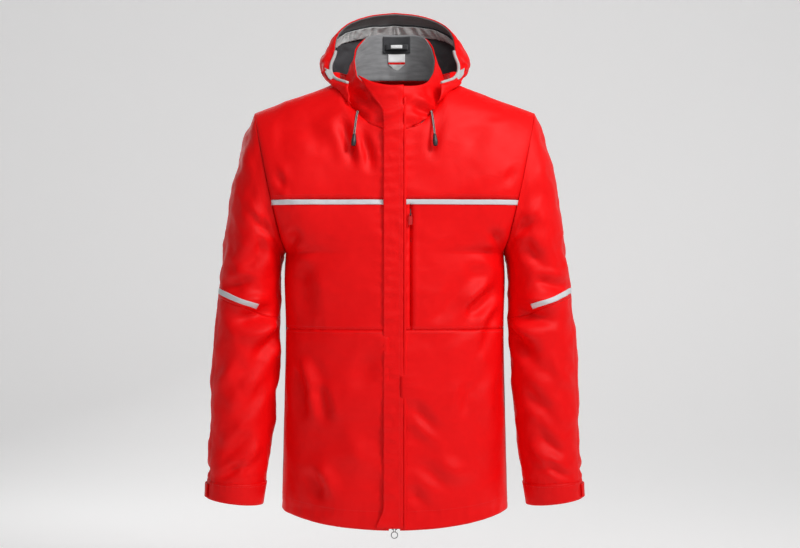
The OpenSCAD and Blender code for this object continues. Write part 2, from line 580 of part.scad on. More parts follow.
// ---------- drawcords ----------
// Points of the wearer's left cord, from the eyelet to the cord end.
cord_points = [[60, -69, 705], [60.4, -74, 704.6], [61, -79, 702], [61.8, -83, 697], [62.6, -87, 691],
    [63.4, -90.5, 684.5], [64.1, -93.5, 678], [64.8, -96, 671.5], [65.4, -98, 665]];
eyelet_x = 60;
eyelet_at = [eyelet_x, neck_seam(asin(eyelet_x / neck_half_w))[1] + 6.15, 705];
end_from = [65.4, -98.1, 664.4];
end_dir = [0.08, -0.2, -1];
module drawcord() at_loop() color([0.15, 0.15, 0.15]) tube(cord_points, cord_d / 2, 8);
module drawcord_left() drawcord();
module drawcord_right() right_side() drawcord();
module aim(d) rotate([0, acos(d[2] / norm(d)), atan2(d[1], d[0])]) children();
module cord_end() at_loop() translate(end_from) aim(end_dir) difference() {
    union() {
        cylinder(d1 = 5, d2 = 8.5, h = cord_end_l * 0.55, $fn = 32);
        translate([0, 0, cord_end_l * 0.55]) cylinder(d1 = 8.5, d2 = 7, h = cord_end_l * 0.45, $fn = 32);
    }
    translate([0, 0, cord_end_l - 3]) cylinder(d = 4, h = 4, $fn = 32);
}
module cord_ends() color(dark) {
    cord_end();
    right_side() cord_end();
}
eyelet_dir = [0.12, -1, -0.28];
eyelet_d = 7.5;
module eyelet_hole() at_loop() translate(eyelet_at) aim(eyelet_dir)
    translate([0, 0, -6]) cylinder(d = eyelet_d + 0.2, h = 12, $fn = 32);
module eyelet() at_loop() translate(eyelet_at) aim(eyelet_dir) translate([0, 0, -2.4]) difference() {
    union() {
        cylinder(d = eyelet_d, h = 3.2, $fn = 32);
        translate([0, 0, 2.2]) cylinder(d = 10, h = 1, $fn = 32);
    }
    translate([0, 0, -1]) cylinder(d = cord_d + 1, h = 6, $fn = 32);
}
module eyelets() color(dark) {
    eyelet();
    right_side() eyelet();
}
// The lock sits under the panel below the eyelet; its button slides in it.
lock_at = [64, eyelet_at[1] - 11, 676];
lock_d = 8;
lock_h = 9;
button_d = 5.6;
button_play = 0.06;
button_in = 4;
button_out = 3;
module cord_lock() at_loop() translate(lock_at) difference() {
    translate([0, 0, -lock_h]) cylinder(d = lock_d, h = lock_h, $fn = 32);
    translate([0, 0, -lock_h + 1]) cylinder(d = button_d + 2 * button_play, h = lock_h, $fn = 32);
}
module cord_locks() color(dark) {
    cord_lock();
    right_side() cord_lock();
}
module lock_button() at_loop() color(grey) translate(lock_at)
    translate([0, 0, -button_in]) cylinder(d = button_d, h = button_in + button_out, $fn = 32);
module lock_button_left() lock_button();
module lock_button_right() right_side() lock_button();

// ---------- inside the back of the neck ----------
loop_h = 8;
module hanging_loop() color(dark) difference() {
    translate([-loop_w / 2, -loop_room / 2 - loop_t, -loop_h / 2]) cube([loop_w, loop_room + 2 * loop_t, loop_h]);
    translate([-loop_w / 2 + 5, -loop_room / 2, -loop_h]) cube([loop_w - 10, loop_room, 2 * loop_h]);
}
label_w = 30;
label_low = 0.22;    // shares of the collar's height
label_high = 0.52;
label_in = lining_gap + lining_t + 0.6;
label_turn = asin(label_w / 2 / neck_half_w);
label_grid = collar_grid(label_low, label_high, 8, 180 - label_turn);
module neck_label() color("white") at_loop() skin(label_grid, label_in, label_in + 1);

front_yoke_right();
front_yoke_left();
front_chest_right();
front_chest_left();
front_placket_left();
front_lower_right();
front_lower_left();
back_yoke();
back_panel();
body_lining();
chest_stripe_right();
chest_stripe_left();
collar_outer();
collar_lining();
hood_centre_panel();
hood_side_right();
hood_side_left();
hood_lining();
hood_visor();
hood_gathered_band();
hood_piping();
hood_base();
sleeve_upper_right();
sleeve_upper_left();
sleeve_lower_right();
sleeve_lower_left();
sleeve_band_right();
sleeve_band_left();
sleeve_lining_right();
sleeve_lining_left();
cuff_right();
cuff_left();
cuff_tab_right();
cuff_tab_left();
storm_flap();
flap_seam_strip();
flap_hook_pads();
flap_loop_pads();
zip_tapes();
zip_teeth();
zip_stops();
zip_guard();
upper_slider();
upper_puller();
lower_slider();
ring_puller();
pocket_tapes();
pocket_teeth();
pocket_slider();
pocket_puller();
pocket_bag();
eyelets();
cord_locks();
lock_button_right();
lock_button_left();
drawcord_right();
drawcord_left();
cord_ends();
hanging_loop();
neck_label();
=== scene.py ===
import bpy
import math
import numpy as np
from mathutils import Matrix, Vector


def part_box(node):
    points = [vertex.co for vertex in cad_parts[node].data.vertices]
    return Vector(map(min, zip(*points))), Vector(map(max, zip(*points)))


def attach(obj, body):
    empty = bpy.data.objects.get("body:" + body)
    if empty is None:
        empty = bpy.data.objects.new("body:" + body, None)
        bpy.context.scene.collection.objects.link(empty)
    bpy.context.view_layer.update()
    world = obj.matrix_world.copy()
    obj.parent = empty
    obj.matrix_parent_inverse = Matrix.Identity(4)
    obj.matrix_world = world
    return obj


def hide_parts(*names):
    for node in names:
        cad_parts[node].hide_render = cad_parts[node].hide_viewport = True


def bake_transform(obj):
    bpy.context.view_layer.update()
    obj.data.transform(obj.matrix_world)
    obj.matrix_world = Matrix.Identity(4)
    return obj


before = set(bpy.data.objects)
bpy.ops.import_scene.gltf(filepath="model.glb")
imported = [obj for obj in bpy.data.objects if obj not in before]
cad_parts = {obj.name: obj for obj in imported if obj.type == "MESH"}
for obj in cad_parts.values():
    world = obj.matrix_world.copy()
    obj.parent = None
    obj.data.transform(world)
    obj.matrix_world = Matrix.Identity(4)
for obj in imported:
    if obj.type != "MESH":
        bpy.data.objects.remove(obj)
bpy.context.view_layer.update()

# Shapes below are worked out in millimetres, heights from the hem, front towards -Y.
loopPlace = np.array([0.0, 58.5, 832.0])  # middle of the hanging loop, the frame's origin
mm = 0.001


def toFrame(points):
    return (np.asarray(points, float) - loopPlace) * mm


view = {"distance": 2300, "height": 437, "across": 9, "frameWidth": 1360, "sensor": 36, "clipEnd": 50}


def addCamera():
    place = toFrame([view["across"], -view["distance"], view["height"]])
    bpy.ops.object.camera_add(location=place, rotation=(math.radians(90), 0, 0))
    camera = bpy.context.object
    camera.name = "frontCamera"
    camera.data.sensor_width = view["sensor"]
    camera.data.lens = view["sensor"] * view["distance"] / view["frameWidth"]
    camera.data.clip_end = view["clipEnd"]
    bpy.context.scene.camera = camera


addCamera()
print("camera placed")


def clearSelection():
    if bpy.context.object and bpy.context.object.mode != "OBJECT":
        bpy.ops.object.mode_set(mode="OBJECT")
    bpy.ops.object.select_all(action="DESELECT")


def makeActive(piece):
    clearSelection()
    piece.select_set(True)
    bpy.context.view_layer.objects.active = piece


# In edit mode with everything selected, runs one step after another.
def editAll(*steps):
    bpy.ops.object.mode_set(mode="EDIT")
    bpy.ops.mesh.select_all(action="SELECT")
    for step in steps:
        step()
    bpy.ops.object.mode_set(mode="OBJECT")


def mergePoints(distance):
    editAll(lambda: bpy.ops.mesh.remove_doubles(threshold=distance))


def faceOutwards():
    bpy.ops.mesh.normals_make_consistent(inside=False)


# A new piece from points in millimetres, with its own map, one pair for each corner of its faces.
def newPiece(name, points, faces, corners):
    mesh = bpy.data.meshes.new(name)
    mesh.from_pydata(toFrame(points).tolist(), [], faces)
    mesh.uv_layers.new(name="map").data.foreach_set("uv", np.asarray(corners, float).ravel())
    piece = bpy.data.objects.new(name, mesh)
    bpy.context.scene.collection.objects.link(piece)
    makeActive(piece)
    return piece


def meshPoints(mesh):
    co = np.empty(len(mesh.vertices) * 3)
    mesh.vertices.foreach_get("co", co)
    return co.reshape(-1, 3)


def smooth(t):
    t = np.clip(t, 0, 1)
    return t * t * (3 - 2 * t)


def mix(a, b, t):
    return a + (b - a) * t


def unit(v):
    return v / np.maximum(np.linalg.norm(v, axis=-1, keepdims=True), 1e-9)


# Distance run along a line of points, from 0 at its start.
def runAlong(line):
    return np.concatenate([[0], np.cumsum(np.linalg.norm(np.diff(line, axis=0), axis=1))])


# Smooth curve through a short table.
def curveTable(x, xs, ys):
    xs, ys = np.asarray(xs, float), np.asarray(ys, float)
    step, rise = np.diff(xs), np.diff(ys)
    slope = rise / step
    tangent = np.concatenate([[slope[0]], (slope[:-1] + slope[1:]) / 2, [slope[-1]]])
    flat = np.concatenate([[False], slope[:-1] * slope[1:] <= 0, [False]])
    tangent[flat] = 0
    x = np.clip(x, xs[0], xs[-1])
    i = np.clip(np.searchsorted(xs, x, side="right") - 1, 0, len(step) - 1)
    t = (x - xs[i]) / step[i]
    return ((2 * t**3 - 3 * t**2 + 1) * ys[i] + (t**3 - 2 * t**2 + t) * step[i] * tangent[i]
            + (3 * t**2 - 2 * t**3) * ys[i + 1] + (t**3 - t**2) * step[i] * tangent[i + 1])


waveCount = 14
waves = np.random.default_rng(7)
waveDirs = waves.normal(size=(waveCount, 3))
waveDirs /= np.linalg.norm(waveDirs, axis=1, keepdims=True)
wavePhases = waves.uniform(0, 6.28, size=(waveCount, 2))


# Gentle uneven surface, about -1 to 1, with bumps of the given length.
def unevenness(p, length, shift=0.0):
    warp = p + 0.35 * length * np.sin(p[..., [1, 2, 0]] * (4.1 / length) + shift)
    total = np.zeros(p.shape[:-1])
    for i, d in enumerate(waveDirs):
        scale = 2 * math.pi / (length * (0.7 + 0.07 * i))
        total += np.sin(warp @ d * scale + wavePhases[i, 0] + shift * 3.1)
    return total / 4.2


body = {
    "hem": 24, "hemRise": 21, "hemReach": 100, "waist": 346, "armpit": 475, "yoke": 558, "shoulder": 710,
    "armpitHalf": 184, "armHalfDepth": 80, "shoulderHalf": 236, "frontDepth": 124, "lean": 0.0375,
    "boxiness": 2.5, "neckHalfWidth": 85, "neckHalfDepth": 83, "neckFront": 672, "neckSide": 764,
    "neckMiddle": -12, "neckBackRise": 11, "collarFront": 744, "collarBack": 853, "collarHalf": 69,
    "collarHalfDepth": 81.5, "collarMiddle": -15.5, "collarSetBack": 4, "frontGap": 9, "pocketSeam": 26,
    "widthHeights": [24, 190, 346, 430, 475], "halfWidths": [191, 187, 184, 186, 184],
    "backHeights": [24, 200, 346, 475, 558], "backDepths": [118, 113, 113, 122, 125],
}
armSlope = (body["shoulderHalf"] - body["armpitHalf"]) / (body["shoulder"] - body["armpit"])
yokeHalf = body["armpitHalf"] + armSlope * (body["yoke"] - body["armpit"])


def frontLine(z):
    return -body["frontDepth"] + body["lean"] * (z - body["hem"])


def bodyHalf(h):
    low = curveTable(h, body["widthHeights"], body["halfWidths"])
    return np.where(h > body["armpit"], body["armpitHalf"] + armSlope * (h - body["armpit"]), low)


def armHalfDepth(h):
    k = np.clip((body["yoke"] - h) / (body["yoke"] - body["armpit"]), 0, 1)
    return body["armHalfDepth"] * np.sqrt(1 - k**2)


def bodyLevel(x, h, back):
    r = np.clip(x / bodyHalf(h), 0, 1)
    a = armHalfDepth(h)
    deep = curveTable(h, body["backHeights"], body["backDepths"]) if back else -frontLine(h)
    d = np.maximum(0.3, a + (deep - a) * np.maximum(0, 1 - r ** body["boxiness"]) ** (1 / body["boxiness"]))
    lift = body["hemRise"] * r * r * np.clip(1 - (h - body["hem"]) / body["hemReach"], 0, 1)
    return np.stack([x, d if back else -d, h + lift], -1)


# The neck seam by its angle: 0 at the front, 90 at the side, 180 at the back.
def neckSeam(a):
    rad = np.radians(a)
    low, side = body["neckFront"], body["neckSide"]
    push = -frontLine(low) + body["neckMiddle"] - body["neckHalfDepth"]
    z = np.where(a < 90, low + (side - low) * (1 - np.cos(rad)), side - body["neckBackRise"] * np.cos(rad))
    y = (body["neckMiddle"] - body["neckHalfDepth"] * np.cos(rad)
         - np.where(a < 90, push * np.cos(rad) ** 2, 0))
    return np.stack([body["neckHalfWidth"] * np.sin(rad), y, z], -1)


def topSeam(x, back):
    neckHalf, shoulderHalf = float(body["neckHalfWidth"]), float(body["shoulderHalf"])
    a = np.degrees(np.arcsin(np.clip(x / neckHalf, 0, 1)))
    neckLine = neckSeam(180 - a if back else a)
    t = np.clip((x - neckHalf) / (shoulderHalf - neckHalf), 0, 1)[..., None]
    ridge = mix(np.array([neckHalf, body["neckMiddle"], body["neckSide"]]),
                np.array([shoulderHalf, 0, body["shoulder"]]), t)
    return np.where((x < neckHalf)[..., None], neckLine, ridge)


# x is the distance from the middle at yoke height; above the yoke seam h runs on by 1 to the top seam.
def bodyPoint(x, h, back):
    v = np.clip(h - body["yoke"], 0, 1)
    low = bodyLevel(x, np.minimum(h, body["yoke"]), back)
    top = topSeam(x + (body["shoulderHalf"] - yokeHalf) * (x / yokeHalf) ** 2, back)
    roundOff = 1 - np.sqrt(np.maximum(0, 1 - v * v))
    g = roundOff if back else mix(v, roundOff, smooth(x / 60))
    high = np.stack([mix(low[..., 0], top[..., 0], v), mix(low[..., 1], top[..., 1], g),
                     mix(low[..., 2], top[..., 2], v)], -1)
    return np.where((h > body["yoke"])[..., None], high, low)


def collarTop(a):
    rad = np.radians(a)
    turn = (1 - np.cos(rad)) / 2
    y = body["collarMiddle"] - body["collarHalfDepth"] * np.cos(rad) + body["collarSetBack"] * turn
    return np.stack([body["collarHalf"] * np.sin(rad), y,
                     mix(body["collarFront"], body["collarBack"], smooth(turn))], -1)


def collarPoint(a, v):
    return mix(neckSeam(a), collarTop(a), v[..., None])


# One value for each row from the armhole to the cuff's edge.
sleeveRows = {
    "outerX": [236, 254, 265, 276.5, 285, 292, 298, 303, 307, 309, 310, 311, 312],
    "outerZ": [710, 668, 622, 570, 510, 450, 400, 340, 273, 205, 140, 92, 66],
    "innerX": [184, 187.5, 190, 191, 191.5, 191.5, 192, 193, 197, 202, 208, 215, 220],
    "innerZ": [475, 468, 458, 446, 428, 402, 362, 310, 250, 187, 130, 87, 54],
    "halfDepth": [80, 81, 81, 79, 75, 71, 68, 65, 62, 59, 55, 51, 47],
    "forward": [0, 0, 0, -1, -3, -6, -9, -13, -18, -24, -30, -35, -38],
    "middle": [0.369, 0.4, 0.43, 0.46, 0.48, 0.5, 0.5, 0.5, 0.5, 0.5, 0.5, 0.5, 0.5],
}
elbowRow, cuffRow = 6, 11
sleeveOut = 0.9  # the sleeve's head stands this far outside the armhole


def sleevePoint(k, a):
    r = {key: curveTable(k, range(len(row)), row) for key, row in sleeveRows.items()}
    rad = np.radians(a)
    e = np.sin(rad)
    midX = mix(r["innerX"], r["outerX"], r["middle"])
    midZ = mix(r["innerZ"], r["outerZ"], r["middle"])
    x = np.where(e > 0, midX + e * (r["outerX"] - midX), midX - e * (r["innerX"] - midX))
    z = np.where(e > 0, midZ + e * (r["outerZ"] - midZ), midZ - e * (r["innerZ"] - midZ))
    return np.stack([x + sleeveOut, r["forward"] - r["halfDepth"] * np.cos(rad), z], -1)


# The hood's rim by its share round the hood, 0 at the back and 1 at the front end, and how far the rim's
# and the neck seam's ends of the roll are drawn outwards and up.
hoodRim = {
    "share": [0, 0.12, 0.25, 0.4, 0.52, 0.62, 0.74, 0.87, 1],
    "x": [0, 42, 80, 101, 105, 106, 112, 104, 76],
    "y": [115, 112, 104, 85, 66, 45, 15, -30, -70], "z": [903, 898, 884, 861, 840, 818, 792, 766, 750],
}
hoodRoll = {
    "rimOut": ([0, 0.4, 0.74, 1], [65, 45, 16, 4]), "rimUp": ([0, 0.74, 1], [-16, -8, -6]),
    "seamOut": ([0, 0.4, 0.74, 1], [115, 80, 30, 8]), "seamUp": ([0, 0.4, 0.74, 1], [-90, -55, 0, 10]),
    "offSeam": 7, "aboveSeam": 12, "outTurn": 125, "seamTurn": 130,
}


def hoodEdge(a):
    return np.stack([curveTable(a, hoodRim["share"], hoodRim[axis]) for axis in "xyz"], -1)


def hoodPoint(t, v):
    a = np.abs(t)
    rad = np.radians(hoodRoll["outTurn"] * a)
    out = np.stack([np.sin(rad), np.cos(rad), 0 * rad], -1)
    up = np.array([0.0, 0.0, 1.0])
    pull = {key: np.interp(a, *hoodRoll[key])[..., None] for key in ("rimOut", "rimUp", "seamOut", "seamUp")}
    edge = hoodEdge(a)
    seam = neckSeam(180 - hoodRoll["seamTurn"] * a) + hoodRoll["offSeam"] * out + hoodRoll["aboveSeam"] * up
    c1 = edge + pull["rimOut"] * out + pull["rimUp"] * up
    c2 = seam + pull["seamOut"] * out + pull["seamUp"] * up
    v = v[..., None]
    p = (1 - v) ** 3 * edge + 3 * (1 - v) ** 2 * v * c1 + 3 * (1 - v) * v * v * c2 + v**3 * seam
    return p * np.stack([np.where(t < 0, -1.0, 1.0), np.ones_like(a), np.ones_like(a)], -1)


# Each fold: from x, z to x, z, its half width, its height (minus is a valley), and -1 front, 1 back.
bodyFolds = [
    (-92, 700, -66, 606, 9, -5, -1), (-62, 676, -36, 596, 8, -4.5, -1), (-76, 690, -50, 606, 7, 2.5, -1),
    (74, 690, 60, 612, 9, -2.5, -1), (-150, 690, -118, 628, 14, -2, -1), (150, 690, 120, 620, 16, -1.6, -1),
    (112, 366, 176, 420, 10, -6, -1), (104, 388, 170, 446, 12, 3, -1), (50, 348, 118, 436, 13, -2.6, -1),
    (182, 392, 132, 276, 9, -5, -1), (160, 366, 138, 262, 9, 3, -1), (128, 268, 112, 196, 11, -2.6, -1),
    (170, 300, 150, 170, 12, 2.5, -1), (26, 236, 74, 176, 10, -3, -1), (30, 214, 84, 150, 10, 2, -1),
    (34, 140, 104, 80, 10, -2.6, -1), (60, 160, 128, 96, 11, 2, -1), (26, 96, 62, 44, 8, -2.6, -1),
    (-176, 300, -146, 190, 11, -5.5, -1), (-158, 310, -128, 200, 10, 3, -1),
    (-134, 262, -108, 186, 10, -4, -1), (-146, 122, -116, 60, 11, -3.4, -1),
    (-128, 132, -96, 70, 11, 2.2, -1), (-168, 466, -140, 350, 15, -3.5, -1),
    (-60, 240, -22, 330, 16, -1.8, -1), (-40, 110, -80, 210, 18, 2, -1), (-184, 470, -150, 510, 9, -4, -1),
    (186, 470, 150, 512, 9, -4, -1), (-178, 440, -120, 470, 12, 2.2, -1), (176, 430, 120, 470, 12, 2.4, -1),
    (-206, 600, -176, 580, 8, -3, -1), (206, 610, 180, 580, 8, -3, -1), (-196, 566, -160, 560, 7, 2, -1),
    (-150, 470, -60, 380, 16, -3.5, 1), (150, 470, 60, 380, 16, -3.5, 1), (-120, 380, -40, 300, 15, 2.5, 1),
    (126, 380, 44, 290, 15, 2.5, 1), (-176, 360, -70, 330, 12, -3, 1), (176, 350, 76, 318, 12, -3, 1),
    (-100, 700, -60, 560, 18, -2.6, 1), (96, 700, 64, 570, 18, -2.4, 1), (-20, 520, 30, 340, 22, -2.2, 1),
    (-110, 260, -130, 60, 20, -3.4, 1), (100, 280, 130, 60, 20, -3.4, 1), (10, 300, -20, 60, 24, -2.4, 1),
    (-60, 240, -66, 60, 18, 2.2, 1), (62, 230, 58, 50, 18, 2.2, 1), (-190, 600, -130, 560, 12, -3.4, 1),
    (190, 600, 130, 566, 12, -3.4, 1), (-170, 540, -110, 520, 12, 2.6, 1), (168, 540, 112, 526, 12, 2.6, 1),
]
# On a sleeve, x is the row's number times rowLength and z its angle: 0 front, 90 outside, 180 back.
rowLength = 50
sleeveFolds = [
    (40, -30, 150, 20, 9, -4), (60, -8, 180, 40, 9, 2.6), (120, -30, 250, 20, 10, -4.5),
    (235, -20, 285, 60, 8, -4), (262, -40, 300, 40, 8, 3.5), (280, -60, 330, 40, 9, -6),
    (300, -70, 350, 10, 9, 4), (318, -80, 372, 0, 9, -5), (350, -60, 400, 30, 9, -3),
    (372, 0, 420, 60, 9, 2.2), (400, -50, 450, 20, 9, -3.4), (455, -30, 500, 30, 8, -3.6),
    (470, -50, 520, 10, 8, 2.6), (500, -20, 540, 40, 7, -3.2), (516, 60, 540, 130, 6, -2.2),
    (255, 100, 300, 190, 9, -4), (285, 110, 330, 210, 10, 3.5), (310, 120, 350, 220, 9, -4),
    (120, 130, 210, 200, 12, -3), (380, 150, 430, 230, 10, -3), (440, 120, 490, 210, 10, -2.6),
    (60, 200, 140, 250, 12, -3.4), (20, 60, 90, 88, 12, -1.5), (200, 60, 262, 96, 10, -2),
]


foldLook = {"scale": 1.9, "bow": 0.10, "rimPlace": 1.9, "rimShare": 0.35, "fadeIn": 0.35, "fadeOut": 0.45}


def foldHeight(x, z, folds, reach=1.0):
    total = np.zeros(np.shape(x))
    for x0, z0, x1, z1, width, height, *side in folds:
        length = math.hypot(x1 - x0, z1 - z0)
        ux, uz = (x1 - x0) / length, (z1 - z0) / length
        along = ((x - x0) * ux + (z - z0) * uz) / length
        bend = foldLook["bow"] * length * np.sin(math.pi * np.clip(along, 0, 1)) * (1 if x0 > 0 else -1)
        off = ((x - x0) * uz - (z - z0) * ux - bend * 0.5) / (width * reach)
        taper = smooth(along / foldLook["fadeIn"]) * smooth((1 - along) / foldLook["fadeOut"])
        rims = foldLook["rimShare"] * np.exp(-(np.abs(off) - foldLook["rimPlace"]) ** 2)
        total += foldLook["scale"] * height * taper * (np.exp(-off**2) - rims)
    return total


def surfaceNormal(place, u, v):
    e = 1e-4
    uLow, uHigh = np.clip(u - e, 0, 1), np.clip(u + e, 0, 1)
    vLow, vHigh = np.clip(v - e, 0, 1), np.clip(v + e, 0, 1)
    return unit(np.cross(place(uHigh, v) - place(uLow, v), place(u, vHigh) - place(u, vLow)))


# Small gathers beside a stitched line.
def puckers(distance, along, pitch, height, reach=10):
    wave = np.sin(along * 2 * math.pi / pitch + 1.3 * np.sin(along * 0.071))
    return height * wave * np.exp(-np.abs(distance) / reach)


def seamDip(distance, width=2.2, depth=1.3):
    return -depth * np.exp(-(distance / width) ** 2)


# Bump height and bump length of the cloth's slack, in three sizes, and the shallow groove over the pocket.
slack = {"wideHigh": 2.4, "wideLong": 150, "middleHigh": 0.6, "middleLong": 52, "fineHigh": 0.16,
         "fineLong": 17, "inMost": -9, "inAtHem": -2.2}
pocketGroove = {"low": 348, "high": 556, "fade": 8, "depth": 4.2, "width": 1.7, "ridge": 1.6,
                "ridgePlace": 5, "ridgeWidth": 4}


def bodyFoldsAt(p, back):
    x, z = p[..., 0], p[..., 2]
    side = 1 if back else -1
    d = foldHeight(x, z, [f for f in bodyFolds if f[6] == side])
    fade = smooth((760 - z) / 60) * smooth((z - body["hem"]) / 30 + 0.25)
    d = d + slack["wideHigh"] * unevenness(p, slack["wideLong"]) * fade
    d = d + slack["middleHigh"] * unevenness(p, slack["middleLong"], 2.0)
    d = d + slack["fineHigh"] * unevenness(p, slack["fineLong"], 5.0)
    sideSeam = bodyHalf(np.minimum(z, body["yoke"])) + 2
    d = d * (0.12 + 0.88 * smooth((sideSeam - np.abs(x)) / 26))  # folds die out at the side seams
    d = np.maximum(d, mix(slack["inAtHem"], slack["inMost"], smooth((z - 40) / 50)))
    d = d + seamDip(z - body["waist"]) + puckers(z - body["waist"], x, 15, 0.5)
    d = d + seamDip(z - 54, 1.6, 0.6) + puckers(z - 50, x, 17, 0.7, 14)
    if not back:
        g = pocketGroove
        d = d + puckers(np.abs(x) - 20, z, 19, 0.55, 12) + puckers(z - body["yoke"] - 2, x, 23, 0.35, 9)
        ends = smooth((z - g["low"]) / g["fade"]) * smooth((g["high"] - z) / g["fade"])
        d = d - g["depth"] * ends * np.exp(-((x - body["pocketSeam"]) / g["width"]) ** 2)
        beside = x - body["pocketSeam"] - g["ridgePlace"]
        d = d + g["ridge"] * ends * np.exp(-(beside / g["ridgeWidth"]) ** 2)
    return d


def drapedBody(place, back, lift=0.0):
    def point(u, v):
        p = place(u, v)
        return p + surfaceNormal(place, u, v) * (bodyFoldsAt(p, back) + lift)[..., None]
    return point


cutSizes = {}
# Points across a piece when it is measured, and the step its cut is taken up to.
cutLook = {"points": 41, "step": 0.005}


# Width, length and area of the cloth laid flat, in metres; the halves of one piece add up.
def measureCut(name, point):
    count = cutLook["points"]
    u, v = np.meshgrid(np.linspace(0, 1, count), np.linspace(0, 1, count))
    p = point(u.ravel(), v.ravel()).reshape(count, count, 3) * mm
    across, up = p[:, 1:] - p[:, :-1], p[1:] - p[:-1]
    area = np.linalg.norm(np.cross(across[:-1], up[:, :-1]), axis=2).sum()
    width = np.linalg.norm(across, axis=2).sum(1).max()
    length = np.linalg.norm(up, axis=2).sum(0).max()
    old = cutSizes.get(name, (0, 0, 0))
    cutSizes[name] = (old[0] + width, max(old[1], length), old[2] + area)


# A grid is added and each of its points placed on the piece's surface; then it gets its thickness.
def clothPanel(name, point, cols, rows, thickness, wrap=False, size=None, cut=True):
    clearSelection()
    if cut:
        measureCut(name, point)
    bpy.ops.mesh.primitive_grid_add(x_subdivisions=cols, y_subdivisions=rows, size=1, calc_uvs=True)
    piece = bpy.context.object
    piece.name = name
    grid = np.clip(meshPoints(piece.data)[:, :2] + 0.5, 0, 1)
    placed = toFrame(point(grid[:, 0], grid[:, 1]))
    piece.data.vertices.foreach_set("co", placed.ravel())
    setUvSize(piece.data, placed, size)
    if wrap:
        mergePoints(0.00005)
    if thickness:
        giveThickness(piece, thickness)
    bpy.ops.object.shade_smooth()
    return piece


# The map is scaled to metres, so that one weave fits every panel.
def setUvSize(mesh, placed, size):
    if size is None:
        span = placed.max(0) - placed.min(0)
        size = (max(span[0], span[1]) * 1.15, max(span[2], 0.02))
    uv = mesh.uv_layers.active.data
    flat = np.empty(len(uv) * 2)
    uv.foreach_get("uv", flat)
    uv.foreach_set("uv", (flat.reshape(-1, 2) * np.array(size)).ravel())


def giveThickness(piece, thickness):
    wall = piece.modifiers.new("wall", "SOLIDIFY")
    wall.thickness = thickness * mm
    wall.offset = -1
    wall.use_even_offset = False
    bpy.context.view_layer.objects.active = piece
    bpy.ops.object.modifier_apply(modifier=wall.name)


def finishPiece(piece, material, bodyName, slot, *nodes):
    piece.data.materials.clear()
    piece.data.materials.append(material)
    if bodyName:
        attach(piece, bodyName)
    if nodes:
        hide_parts(*nodes)
    return piece


def newGroup(name, inputs, outputs):
    group = bpy.data.node_groups.new(name, "ShaderNodeTree")
    for label, kind, value in inputs:
        socket = group.interface.new_socket(label, in_out="INPUT", socket_type=kind)
        if value is not None:
            socket.default_value = value
    for label, kind in outputs:
        group.interface.new_socket(label, in_out="OUTPUT", socket_type=kind)
    return group, group.nodes.new("NodeGroupInput"), group.nodes.new("NodeGroupOutput")


def mathNode(tree, operation, a, b=None):
    node = tree.nodes.new("ShaderNodeMath")
    node.operation = operation
    for i, value in enumerate([a, b]):
        if value is None:
            continue
        if isinstance(value, (int, float)):
            node.inputs[i].default_value = value
        else:
            tree.links.new(value, node.inputs[i])
    return node.outputs[0]


def addNode(tree, kind, values=None, links=None):
    node = tree.nodes.new("ShaderNode" + kind)
    for label, value in (values or {}).items():
        node.inputs[label].default_value = value
    for label, source in (links or {}).items():
        tree.links.new(source, node.inputs[label])
    return node


# Over and under threads on a map in metres: their height, and a mask of thread shade.
def buildWeave():
    group, given, out = newGroup(
        "clothWeave", [("Map", "NodeSocketVector", None), ("Threads per metre", "NodeSocketFloat", 1800.0)],
        [("Height", "NodeSocketFloat"), ("Shade", "NodeSocketFloat")])
    split = addNode(group, "SeparateXYZ", links={0: given.outputs["Map"]})
    count = given.outputs["Threads per metre"]
    threads = [mathNode(group, "MULTIPLY", split.outputs[i], count) for i in (0, 1)]
    warp, weft = [mathNode(group, "SINE", mathNode(group, "MULTIPLY", t, math.pi)) for t in threads]
    noise = addNode(group, "TexNoise", {"Scale": 90, "Detail": 6}, {"Vector": given.outputs["Map"]})
    group.links.new(mathNode(group, "MULTIPLY", warp, weft), out.inputs["Height"])
    group.links.new(noise.outputs["Fac"], out.inputs["Shade"])
    return group


# Fine crushed creases of coated cloth, and where it is soiled.
def buildCrinkle():
    group, given, out = newGroup(
        "clothCrinkle", [("Position", "NodeSocketVector", None), ("Scale", "NodeSocketFloat", 28.0)],
        [("Height", "NodeSocketFloat"), ("Soil", "NodeSocketFloat")])
    warp = addNode(group, "TexNoise", {"Detail": 3, "Distortion": 1.2},
                   {"Vector": given.outputs["Position"], "Scale": given.outputs["Scale"]})
    ridge = mathNode(group, "ABSOLUTE", mathNode(group, "SUBTRACT", warp.outputs["Fac"], 0.5))
    soil = addNode(group, "TexNoise", {"Scale": 6, "Detail": 5}, {"Vector": given.outputs["Position"]})
    group.links.new(ridge, out.inputs["Height"])
    group.links.new(soil.outputs["Fac"], out.inputs["Soil"])
    return group


# Fine scratches and rubbed spots for metal and plastic.
def buildWear():
    group, given, out = newGroup(
        "rubbedSurface", [("Position", "NodeSocketVector", None), ("Scale", "NodeSocketFloat", 300.0)],
        [("Rub", "NodeSocketFloat"), ("Height", "NodeSocketFloat")])
    noise = addNode(group, "TexNoise", {"Detail": 8},
                    {"Vector": given.outputs["Position"], "Scale": given.outputs["Scale"]})
    grain = addNode(group, "TexVoronoi", {"Scale": 900}, {"Vector": given.outputs["Position"]})
    group.links.new(noise.outputs["Fac"], out.inputs["Rub"])
    group.links.new(grain.outputs["Distance"], out.inputs["Height"])
    return group


weaveGroup, crinkleGroup, wearGroup = buildWeave(), buildCrinkle(), buildWear()


def startMaterial(name):
    material = bpy.data.materials.new(name)
    material.use_nodes = True
    tree = material.node_tree
    return material, tree, tree.nodes["Principled BSDF"], tree.nodes.new("ShaderNodeTexCoord")


